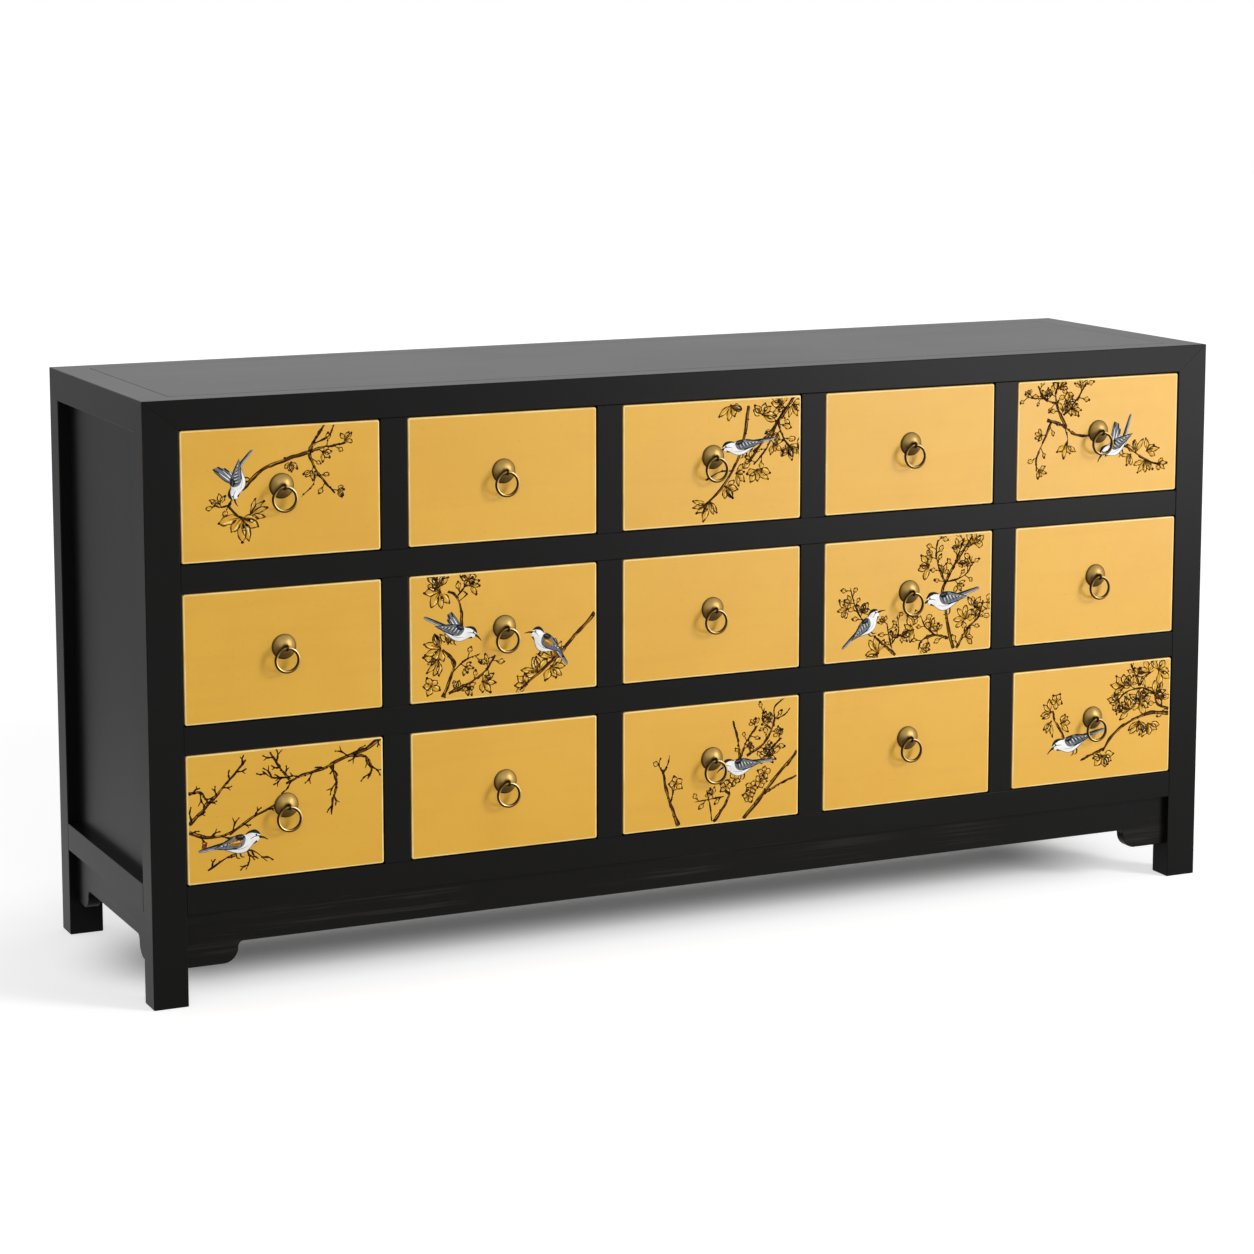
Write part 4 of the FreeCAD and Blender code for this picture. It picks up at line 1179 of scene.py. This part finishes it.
class BlossomBrush(BoughBrush):
    """A brush that also draws petals, flowers and buds."""

    def petal(self, base, aim, length, wide):
        """A pointed petal: at share u of its length it is wide * sin(pi * u^1.15) across, and its middle
        line bends aside with u^2. Over the wash come a brown root, a pale light, two umber edges that do
        not quite meet, a vein and often a dab at the tip."""
        u = np.linspace(0, 1, 6)[:, None]
        ahead = heading(aim)
        side = np.array([-ahead[1], ahead[0]])
        spine = base + length * MM * (u * ahead + self.dice.uniform(-0.18, 0.18) * u ** 2 * side)
        lift = wide * MM / 2 * np.sin(np.pi * u ** 1.15) * self.dice.uniform(0.8, 1.2, (6, 1)) * side
        self.wash(np.concatenate([(spine - lift), (spine + lift)[-2:0:-1]]), WASH, 0, 3)
        self.line(spine[:4], 0.30 * wide, SEPIA, 1, 0.2)
        self.line((spine + 0.55 * lift)[2:5], 0.24 * wide, GLINT, 1, 0.5)
        for edge, wider in ((spine - lift, 1.7), (spine + lift, 2.0)):
            begin = self.dice.integers(0, 2)
            self.line(edge[begin:], wider * self.dice.uniform(0.85, 1.25), UMBER, 2, 0.9, 0.6, 0.4)
        self.line(spine[:3], 0.9, INK, 3, 0.3)
        if self.dice.random() < 0.7:
            self.dot(spine[5], self.dice.uniform(2.2, 4.0))

    def fan(self, place, aim, size, petals, spread):
        """A blossom seen from the side: petals fanned about one direction, a stamen and a dark calyx."""
        base = self.at(place)
        size = size * BLOOM
        turns = aim + np.linspace(-spread / 2, spread / 2, petals) + self.dice.normal(0, 7, petals)
        slim = min(0.46, 0.9 * math.radians(spread) / petals)
        for turn in turns[np.argsort(-abs(turns - aim))]:
            root = base + heading(turn) * 0.07 * size * MM
            length = size * self.dice.uniform(0.7, 1.1)
            self.petal(root, turn, length, size * slim * self.dice.uniform(0.85, 1.1))
        tip = base + heading(aim + self.dice.normal(0, 20)) * size * MM * 0.6
        self.line(np.stack([base, tip]), 0.8, INK, 3, 0.7)
        self.dot(tip, 1.6)
        self.dot(base, 1.0 + size * 0.1)

    def bloom(self, place, size):
        """An open flower: round petals about a rusty eye, with dots of ink set round it."""
        middle = self.at(place)
        size = size * BLOOM
        turns = np.arange(PETALS) * 360 / PETALS + self.dice.uniform(0, 70)
        for turn in turns:
            self.petal(middle, turn, size * self.dice.uniform(0.85, 1.1), size * 0.75)
        self.dot(middle, size * 0.34, RUST)
        for turn in turns + 180 / PETALS:
            self.dot(middle + heading(turn) * size * MM * 0.4, 1.1)

    def bud(self, place, aim, size):
        """One closed petal on a dark base."""
        base = np.asarray(place)
        self.petal(base, aim, size * BLOOM, size * BLOOM * 0.6)
        self.dot(base, size * 0.36)

    def flowering(self, shares, thick, thin, count, size):
        """A bough with short twigs on alternate sides, each ending in a bud or a small fan."""
        line = flow(self.branch(shares, thick, thin))
        for number in range(count):
            root, aim = self.shoot(line, number, count, 0.6, (35, 75))
            tip = root + heading(aim) * MM * self.dice.uniform(3.5, 8)
            self.line(np.stack([root, tip]), 1.5, INK, 2, 0.7)
            if number % 3 == 1:
                self.fan((tip - self.corner) / self.reach, aim, size, 4, 110)
            else:
                self.bud(tip, aim, size * self.dice.uniform(0.6, 0.9))


print("blossom drawn", BLOOM, "times its listed size")

# %% [markdown]
# A bird is drawn facing right, in shares of its length from the middle of its body, and then turned and
# placed, so one drawing serves for all of them. Tail, wings, body and cap are washes, and feathers are
# strokes of black and white over them.

# %% Birds
class BirdBrush(BlossomBrush):
    """A brush that also draws birds."""

    def bird(self, place, length, turn, facing=1, raised=0.0, warm=False, tail=0, stout=1.1):
        """A small bird, its length in mm and its turn and bent tail in degrees. It faces right, or left
        where facing is -1. raised lifts the far wing, warm adds a tan patch, and stout widens it."""
        self.perch, self.length, self.facing, self.stout = self.at(place), length, facing, stout
        self.ahead = heading(turn)
        self.sideways = np.array([-self.ahead[1], self.ahead[0]])
        self.tail_feathers(tail)
        if raised:
            self.raised_wing((1, raised))
        self.body()
        self.folded_wing()
        if warm:
            self.tan_patch()
        self.head_and_feet()

    def put(self, points):
        """Turn and place points: perch + length * (x * facing * ahead + y * stout * sideways)."""
        p = np.asarray(points, float)
        turned = p[:, :1] * self.facing * self.ahead + p[:, 1:] * self.stout * self.sideways
        return self.perch + self.length * MM * turned

    def fill(self, colour, layer, points):
        self.wash(self.put(points), colour, layer)

    def marks(self, width, colour, layer, *paths):
        """One stroke to each path, its width a share of the bird's length."""
        for points in paths:
            self.line(self.put(points), width * self.length, colour, layer, 0.35)

    def tail_feathers(self, bent):
        """A grey fan bent in degrees, with a black stroke and a white one down its length."""
        bend = np.stack([heading(bent), (-heading(bent)[1], heading(bent)[0])])
        fan = (-0.14, 0.03) + np.array([(0.03, 0.035), (-0.20, 0.030), (-0.42, 0.022), (-0.42, -0.020),
                                        (-0.20, -0.028), (0.03, -0.035)]) @ bend
        self.fill(SLATE, 3, fan)
        self.marks(0.046, SOOT, 4, fan[:3] * 0.9 + fan[:2:-1] * 0.1)
        self.marks(0.014, WHITE, 4, fan[:2:-1] * 0.8 + fan[:3] * 0.2)

    def raised_wing(self, lift):
        """The far wing, its height scaled by lift, with black and white quills and a dark front edge."""
        self.fill(SLATE, 3, np.array([(0.14, 0.08), (0.09, 0.22), (0.00, 0.36), (-0.11, 0.46), (-0.16, 0.40),
                                      (-0.15, 0.28), (-0.09, 0.14), (0.0, 0.06)]) * lift)
        black = np.array([[(-0.12, 0.47), (0.00, 0.24)], [(-0.17, 0.39), (-0.04, 0.17)],
                          [(-0.15, 0.27), (-0.05, 0.11)]])
        white = np.array([[(0.07, 0.16), (-0.07, 0.36)], [(0.02, 0.14), (-0.11, 0.29)],
                          [(0.0, 0.09), (-0.10, 0.17)]])
        self.marks(0.046, SOOT, 4, *(black * lift))
        self.marks(0.030, WHITE, 5, *(white * lift))
        self.marks(0.024, SOOT, 5, np.array([(0.14, 0.09), (0.08, 0.24), (-0.08, 0.45)]) * lift)

    def body(self):
        """A white body, its belly shaded by grey strokes and its back edged in black."""
        back = np.array([(-0.24, 0.035), (-0.12, 0.078), (0.02, 0.118), (0.14, 0.118), (0.22, 0.100)])
        belly = np.array([(-0.23, 0.0), (-0.10, -0.062), (0.04, -0.118), (0.16, -0.122), (0.25, -0.080),
                          (0.31, -0.038), (0.38, -0.024)])
        face = np.array([(0.435, 0.030), (0.415, 0.090), (0.355, 0.128), (0.28, 0.126)])
        self.fill(WHITE, 5, np.concatenate([belly, face, back[::-1]]))
        self.marks(0.015, SLATE, 6, belly, belly[1:5] * (0.9, 0.55))
        self.marks(0.015, SOOT, 6, back)

    def folded_wing(self):
        """A grey wing barred with six pairs of strokes, black and white, and a black shoulder."""
        self.fill(SLATE, 6, [(0.20, 0.085), (0.10, 0.122), (-0.04, 0.112), (-0.18, 0.068), (-0.34, 0.012),
                             (-0.20, -0.012), (-0.05, -0.048), (0.08, -0.058), (0.17, -0.015)])
        for number in range(6):
            x, low, high = 0.15 - 0.062 * number, -0.045 + 0.010 * number, 0.105 - 0.015 * number
            self.marks(0.026, SOOT, 7, [(x, high), (x - 0.05, low)])
            self.marks(0.019, WHITE, 8, [(x - 0.03, high - 0.01), (x - 0.065, low + 0.035)])
        self.marks(0.034, SOOT, 7, [(-0.02, 0.105), (-0.16, 0.066), (-0.34, 0.012)],
                   [(0.04, -0.050), (-0.10, -0.036), (-0.30, 0.004)])
        self.fill(SOOT, 8, [(0.19, 0.085), (0.12, 0.125), (0.03, 0.112), (0.05, 0.065), (0.13, 0.040)])
        self.marks(0.020, SLATE, 9, [(0.16, 0.085), (0.07, 0.095)])

    def tan_patch(self):
        """A warm patch on the wing, with a light and two rusty strokes."""
        self.fill(SEPIA, 8, [(0.14, 0.045), (0.04, 0.070), (-0.09, 0.050), (-0.05, 0.0), (0.08, -0.015)])
        self.marks(0.020, GLINT, 9, [(0.10, 0.030), (-0.05, 0.035)])
        self.marks(0.016, RUST, 9, [(0.12, 0.050), (0.0, 0.060)], [(0.09, 0.005), (-0.03, 0.012)])

    def head_and_feet(self):
        """A black cap, a stripe through the eye, the throat, the beak, the eye and two feet."""
        self.fill(SOOT, 7, [(0.438, 0.058), (0.412, 0.108), (0.355, 0.142), (0.27, 0.138), (0.205, 0.108),
                            (0.29, 0.108), (0.36, 0.090)])
        self.marks(0.022, SOOT, 7, [(0.43, 0.040), (0.35, 0.050), (0.26, 0.028)])
        self.marks(0.040, SOOT, 7, [(0.37, -0.016), (0.30, -0.045)])
        beak = self.put([(0.41, 0.030), (0.48, 0.008), (0.55, -0.035)])
        self.line(beak, 0.046 * self.length, SOOT, 7, 0.25)
        self.dot(self.put([(0.372, 0.066)])[0], 0.030 * self.length, SOOT, 9)
        self.marks(0.034, INK, 4, [(0.0, -0.10), (0.01, -0.17), (0.06, -0.195)],
                   [(0.07, -0.11), (0.08, -0.17), (0.13, -0.19)])


print("parts of a bird", [name for name in vars(BirdBrush) if not name.startswith("_")])

# %% [markdown]
# ## Eight sprays
# Each spray has its own massing: which corner the bough enters from, where the bird sits, and how full
# the blossom is. A bough goes down before the blossom that it carries, and birds come last, as a painter
# would build it up. All the marks on a drawer become one piece, because they slide with it.

# %% Paint one drawer
PAINTED = ("top_1", "top_3", "top_5", "middle_2", "middle_4", "bottom_1", "bottom_3", "bottom_5")


def paint_drawer(tag, compose):
    """Compose one spray with a fresh brush, whose chance is set by the drawer's place in the list."""
    brush = BirdBrush(tag, PAINTED.index(tag))
    compose(brush)
    spray = brush.finish(tag)
    print(spray.name, len(brush.patches), "marks", len(spray.data.polygons), "faces")


print("painted drawers", len(PAINTED))

# %% [markdown]
# The top row has one bird to a drawer, and the two outer ones lift a wing. Boughs come in from above
# here, so each spray has its weight high on the drawer.

# %% Top row
def spray_top_1(b):
    b.branch([(0.30, 0.53), (0.40, 0.67), (0.52, 0.74), (0.64, 0.79)], 3.0, 2.2)
    b.branch([(0.64, 0.79), (0.67, 0.88), (0.72, 0.99)], 2.0, 1.2)
    b.branch([(0.67, 0.85), (0.74, 0.90), (0.77, 0.99)], 1.5, 0.9)
    b.flowering([(0.64, 0.79), (0.73, 0.82), (0.83, 0.84)], 1.8, 0.8, 5, 8)
    b.flowering([(0.64, 0.78), (0.67, 0.66), (0.72, 0.55), (0.77, 0.46)], 1.8, 0.8, 5, 7)
    b.branch([(0.67, 0.64), (0.66, 0.54), (0.60, 0.45)], 1.0, 0.6)
    b.fan((0.55, 0.72), -95, 9, 4, 110)
    b.branch([(0.27, 0.50), (0.24, 0.41), (0.30, 0.31)], 1.6, 0.9)
    b.fan((0.30, 0.32), -85, 18, 6, 170)
    b.fan((0.34, 0.34), 25, 14, 4, 70)
    b.flowering([(0.25, 0.43), (0.20, 0.41), (0.16, 0.43)], 1.3, 0.8, 3, 8)
    b.bird((0.285, 0.63), 64, 84, -1, raised=0.9, tail=30, stout=1.2)


def spray_top_3(b):
    b.branch([(0.93, 0.92), (0.86, 0.78), (0.77, 0.62), (0.70, 0.48)], 2.4, 1.6)
    b.branch([(0.70, 0.94), (0.68, 0.72), (0.63, 0.48), (0.54, 0.27), (0.43, 0.13)], 2.4, 1.2)
    b.flowering([(0.96, 0.99), (0.88, 0.83), (0.80, 0.58), (0.73, 0.46)], 1.6, 0.8, 8, 9)
    b.flowering([(0.87, 0.80), (0.90, 0.66), (0.96, 0.55)], 1.6, 0.8, 5, 10)
    b.branch([(0.46, 0.36), (0.54, 0.42), (0.62, 0.42)], 1.4, 0.8)
    b.fan((0.60, 0.95), -70, 13, 5, 130)
    b.fan((0.78, 0.86), 60, 13, 6, 200)
    b.fan((0.89, 0.93), 140, 12, 5, 150)
    b.fan((0.95, 0.93), -40, 10, 4, 120)
    b.fan((0.93, 0.60), -70, 14, 5, 120)
    b.fan((0.75, 0.42), -85, 13, 5, 140)
    b.fan((0.63, 0.40), -10, 10, 4, 110)
    b.fan((0.57, 0.30), -40, 13, 5, 120)
    b.fan((0.47, 0.17), 215, 14, 4, 80)
    b.fan((0.48, 0.19), -75, 12, 3, 60)
    b.bird((0.685, 0.615), 76, 8, -1, stout=1.0)


def spray_top_5(b):
    b.flowering([(0.30, 0.60), (0.25, 0.74), (0.23, 0.88), (0.25, 0.98)], 2.0, 1.0, 7, 9)
    b.flowering([(0.24, 0.80), (0.16, 0.85), (0.12, 0.96)], 1.6, 0.9, 4, 8)
    b.flowering([(0.16, 0.85), (0.09, 0.86), (0.05, 0.88)], 1.2, 0.7, 3, 6)
    b.flowering([(0.28, 0.70), (0.36, 0.82), (0.42, 0.97)], 1.7, 0.9, 6, 9)
    b.branch([(0.18, 0.67), (0.27, 0.62), (0.36, 0.53), (0.46, 0.51)], 2.0, 1.6)
    b.flowering([(0.21, 0.66), (0.17, 0.52), (0.12, 0.36), (0.12, 0.24)], 1.6, 0.7, 5, 8)
    b.branch([(0.29, 0.60), (0.31, 0.50), (0.30, 0.42)], 1.2, 0.7)
    b.fan((0.30, 0.46), -90, 13, 4, 90)
    b.fan((0.30, 0.80), 10, 11, 5, 140)
    b.fan((0.26, 0.92), 60, 10, 5, 150)
    b.branch([(0.58, 0.46), (0.68, 0.40), (0.80, 0.28), (0.90, 0.22)], 1.8, 1.0)
    b.fan((0.74, 0.34), 100, 13, 4, 80)
    b.fan((0.81, 0.35), 30, 12, 4, 100)
    b.fan((0.80, 0.27), -95, 12, 5, 130)
    b.fan((0.71, 0.33), 235, 10, 3, 70)
    b.fan((0.88, 0.24), -20, 9, 4, 110)
    b.bird((0.635, 0.425), 74, 30, -1, raised=0.8, tail=-40)


paint_drawer("top_1", spray_top_1)
paint_drawer("top_3", spray_top_3)
paint_drawer("top_5", spray_top_5)

# %% [markdown]
# The sprays of the middle row have two birds each, one to either side of the pull. Most boughs rise
# from below and leave room for the pull between them.

# %% Middle row
def spray_middle_2(b):
    b.branch([(0.27, 0.58), (0.27, 0.72), (0.24, 0.83), (0.20, 0.86)], 1.9, 1.2)
    b.flowering([(0.25, 0.82), (0.29, 0.89), (0.31, 0.95)], 1.5, 0.8, 3, 9)
    b.branch([(0.26, 0.78), (0.30, 0.83), (0.28, 0.86)], 1.0, 0.6)
    b.fan((0.16, 0.87), 190, 15, 7, 220)
    b.fan((0.15, 0.90), 90, 13, 4, 90)
    b.bloom((0.31, 0.95), 7)
    b.branch([(0.17, 0.03), (0.21, 0.18), (0.23, 0.30), (0.17, 0.41)], 2.6, 1.3)
    b.flowering([(0.22, 0.22), (0.29, 0.31), (0.37, 0.35)], 1.5, 0.8, 4, 7)
    b.flowering([(0.20, 0.06), (0.32, 0.13), (0.40, 0.22), (0.45, 0.33)], 1.7, 0.8, 6, 8)
    b.fan((0.16, 0.42), 185, 14, 6, 170)
    b.fan((0.20, 0.45), 80, 13, 4, 90)
    b.fan((0.15, 0.33), 225, 13, 5, 110)
    b.bloom((0.11, 0.13), 8)
    b.fan((0.38, 0.13), -10, 12, 5, 150)
    b.fan((0.25, 0.07), 60, 10, 4, 120)
    b.branch([(0.99, 0.60), (0.91, 0.47), (0.86, 0.40), (0.78, 0.27), (0.66, 0.13), (0.58, 0.03)], 2.4, 1.4)
    b.fan((0.76, 0.26), 95, 16, 5, 110)
    b.fan((0.68, 0.16), 120, 15, 5, 130)
    b.fan((0.75, 0.20), -40, 13, 5, 140)
    b.fan((0.62, 0.07), 160, 11, 4, 110)
    b.bird((0.225, 0.545), 74, -17, 1, raised=0.6, tail=-10, stout=1.1)
    b.bird((0.735, 0.375), 66, -33, -1, warm=True, tail=16, stout=1.45)


def spray_middle_4(b):
    b.branch([(0.42, 0.02), (0.35, 0.12), (0.29, 0.20)], 2.2, 1.4)
    b.flowering([(0.23, 0.32), (0.18, 0.46), (0.15, 0.62)], 1.5, 0.8, 7, 8)
    b.fan((0.22, 0.40), 70, 11, 4, 120)
    b.fan((0.13, 0.44), 200, 10, 4, 120)
    b.flowering([(0.40, 0.08), (0.38, 0.20), (0.37, 0.30)], 1.4, 0.8, 5, 7)
    b.flowering([(0.40, 0.12), (0.44, 0.22), (0.43, 0.36)], 1.3, 0.7, 4, 7)
    b.fan((0.32, 0.05), 150, 14, 6, 160)
    b.branch([(0.77, 0.03), (0.74, 0.20), (0.72, 0.38), (0.70, 0.52), (0.74, 0.66), (0.80, 0.80),
              (0.88, 0.97)], 2.6, 1.4)
    b.flowering([(0.72, 0.58), (0.68, 0.72), (0.66, 0.84), (0.67, 0.96)], 1.6, 0.8, 8, 8)
    b.flowering([(0.76, 0.70), (0.80, 0.84), (0.83, 0.96)], 1.6, 0.8, 7, 8)
    b.flowering([(0.72, 0.60), (0.80, 0.62), (0.86, 0.68), (0.88, 0.80)], 1.5, 0.8, 7, 8)
    b.fan((0.62, 0.75), 190, 12, 4, 120)
    b.fan((0.89, 0.90), 80, 12, 6, 180)
    b.flowering([(0.74, 0.12), (0.66, 0.16), (0.58, 0.12), (0.56, 0.05)], 1.8, 0.9, 5, 8)
    b.flowering([(0.66, 0.16), (0.60, 0.24), (0.57, 0.34)], 1.4, 0.8, 5, 8)
    b.fan((0.53, 0.22), 185, 13, 5, 140)
    b.flowering([(0.79, 0.03), (0.85, 0.18), (0.92, 0.28), (0.95, 0.42)], 1.8, 0.9, 8, 9)
    b.fan((0.84, 0.27), 110, 12, 6, 200)
    b.fan((0.90, 0.36), 60, 11, 5, 150)
    b.bird((0.235, 0.265), 70, 40, 1, stout=1.2)
    b.bird((0.745, 0.445), 80, 4, -1, tail=-9, stout=1.25)


paint_drawer("middle_2", spray_middle_2)
paint_drawer("middle_4", spray_middle_4)

# %% [markdown]
# The bottom row runs from bare winter boughs with a single berry on the left to full blossom on the
# right. It has one bird to a drawer again.

# %% Bottom row
def spray_bottom_1(b):
    b.thorny([(0.01, 0.47), (0.10, 0.60), (0.20, 0.76), (0.30, 0.93)], 2.4, 1.0, 9)
    b.thorny([(0.01, 0.71), (0.07, 0.71), (0.11, 0.62)], 1.8, 1.0, 3)
    b.thorny([(0.01, 0.41), (0.10, 0.36), (0.21, 0.37), (0.32, 0.47), (0.45, 0.56)], 2.4, 1.0, 8)
    b.thorny([(0.99, 0.99), (0.90, 0.91), (0.80, 0.87), (0.69, 0.80), (0.58, 0.76), (0.50, 0.71)],
             2.6, 1.3, 9)
    b.thorny([(0.73, 0.82), (0.76, 0.68), (0.74, 0.56), (0.73, 0.43)], 1.8, 0.8, 4)
    b.thorny([(0.82, 0.88), (0.91, 0.86), (0.94, 0.76), (0.92, 0.68)], 1.8, 0.8, 4)
    b.thorny([(0.52, 0.74), (0.47, 0.84), (0.42, 0.97)], 1.8, 0.9, 5)
    b.thorny([(0.50, 0.76), (0.43, 0.77), (0.38, 0.83)], 1.4, 0.8, 3)
    b.thorny([(0.10, 0.10), (0.22, 0.20), (0.32, 0.22), (0.40, 0.12)], 1.5, 0.8, 5)
    b.thorny([(0.30, 0.22), (0.31, 0.15), (0.29, 0.07)], 1.2, 0.7, 2)
    b.dot(b.at((0.085, 0.29)), 7.5, RUST, 4)
    b.dot(b.at((0.092, 0.30)), 3.0, INK, 5)
    b.bird((0.235, 0.275), 78, 8, 1, warm=True, stout=1.2)


def spray_bottom_3(b):
    b.branch([(0.31, 0.02), (0.27, 0.18), (0.24, 0.34), (0.22, 0.50)], 2.6, 1.5)
    b.branch([(0.22, 0.48), (0.20, 0.54), (0.21, 0.60)], 1.3, 0.8)
    b.branch([(0.22, 0.46), (0.25, 0.54), (0.26, 0.61)], 1.3, 0.8)
    b.branch([(0.265, 0.22), (0.28, 0.30), (0.29, 0.36)], 1.4, 0.8)
    b.bloom((0.295, 0.37), 7)
    b.bud(b.at((0.20, 0.54)), 160, 6)
    b.branch([(0.51, 0.02), (0.56, 0.12), (0.60, 0.23), (0.57, 0.27)], 2.2, 1.2)
    b.branch([(0.50, 0.03), (0.49, 0.16), (0.47, 0.29)], 1.4, 0.8)
    b.flowering([(0.57, 0.22), (0.48, 0.21), (0.40, 0.20)], 1.3, 0.7, 4, 8)
    b.branch([(0.68, 0.02), (0.78, 0.18), (0.87, 0.34), (0.95, 0.46), (0.99, 0.54)], 3.2, 1.8)
    b.branch([(0.80, 0.21), (0.90, 0.28), (0.99, 0.33)], 1.9, 1.0)
    b.branch([(0.66, 0.50), (0.65, 0.66), (0.62, 0.84)], 1.8, 1.0)
    b.flowering([(0.66, 0.52), (0.70, 0.66), (0.76, 0.78)], 1.6, 0.9, 5, 7)
    b.flowering([(0.70, 0.54), (0.80, 0.63), (0.85, 0.76), (0.86, 0.84)], 1.9, 1.1, 6, 8)
    b.branch([(0.86, 0.82), (0.86, 0.92), (0.92, 0.99)], 1.5, 0.9)
    b.branch([(0.87, 0.82), (0.92, 0.85), (0.95, 0.90)], 1.3, 0.8)
    b.flowering([(0.78, 0.46), (0.83, 0.56), (0.90, 0.66)], 1.7, 0.9, 5, 8)
    b.flowering([(0.84, 0.74), (0.79, 0.82), (0.80, 0.92)], 1.4, 0.8, 3, 7)
    for place in ((0.58, 0.30), (0.63, 0.35), (0.71, 0.20), (0.73, 0.27), (0.78, 0.31), (0.80, 0.38)):
        b.bloom(place, 6.5)
    b.fan((0.84, 0.52), 120, 10, 5, 140)
    b.bird((0.685, 0.455), 72, 3, -1, stout=1.25)


def spray_bottom_5(b):
    b.branch([(0.99, 0.51), (0.88, 0.53), (0.75, 0.48), (0.64, 0.38), (0.57, 0.24)], 2.8, 1.8)
    b.branch([(0.58, 0.26), (0.50, 0.22), (0.43, 0.18)], 1.9, 1.4)
    b.flowering([(0.99, 0.55), (0.92, 0.60), (0.89, 0.70), (0.82, 0.76)], 1.9, 1.0, 6, 10)
    b.flowering([(0.80, 0.78), (0.77, 0.88), (0.74, 0.98)], 1.8, 1.0, 4, 7)
    b.branch([(0.80, 0.78), (0.84, 0.86), (0.89, 0.90)], 1.5, 0.9)
    b.flowering([(0.82, 0.76), (0.72, 0.74), (0.66, 0.66)], 1.5, 0.9, 5, 9)
    b.fan((0.92, 0.90), 20, 14, 6, 190)
    b.fan((0.86, 0.89), 140, 12, 4, 120)
    b.fan((0.70, 0.78), 150, 14, 6, 180)
    b.fan((0.67, 0.66), 200, 12, 5, 150)
    b.fan((0.80, 0.64), 60, 13, 7, 240)
    b.fan((0.74, 0.58), 120, 12, 6, 200)
    b.fan((0.90, 0.68), 40, 13, 6, 180)
    b.fan((0.80, 0.47), -100, 13, 5, 120)
    b.fan((0.86, 0.44), -80, 14, 5, 130)
    b.fan((0.57, 0.20), -90, 13, 7, 220)
    b.branch([(0.33, 0.33), (0.30, 0.46), (0.26, 0.56), (0.25, 0.64)], 1.9, 1.0)
    b.fan((0.24, 0.63), 170, 12, 4, 110)
    b.bloom((0.27, 0.72), 7)
    b.fan((0.30, 0.52), 20, 12, 4, 110)
    b.fan((0.24, 0.55), 240, 13, 3, 60)
    b.bird((0.395, 0.35), 84, 13, -1, stout=1.05)


paint_drawer("bottom_1", spray_bottom_1)
paint_drawer("bottom_3", spray_bottom_3)
paint_drawer("bottom_5", spray_bottom_5)

# %% [markdown]
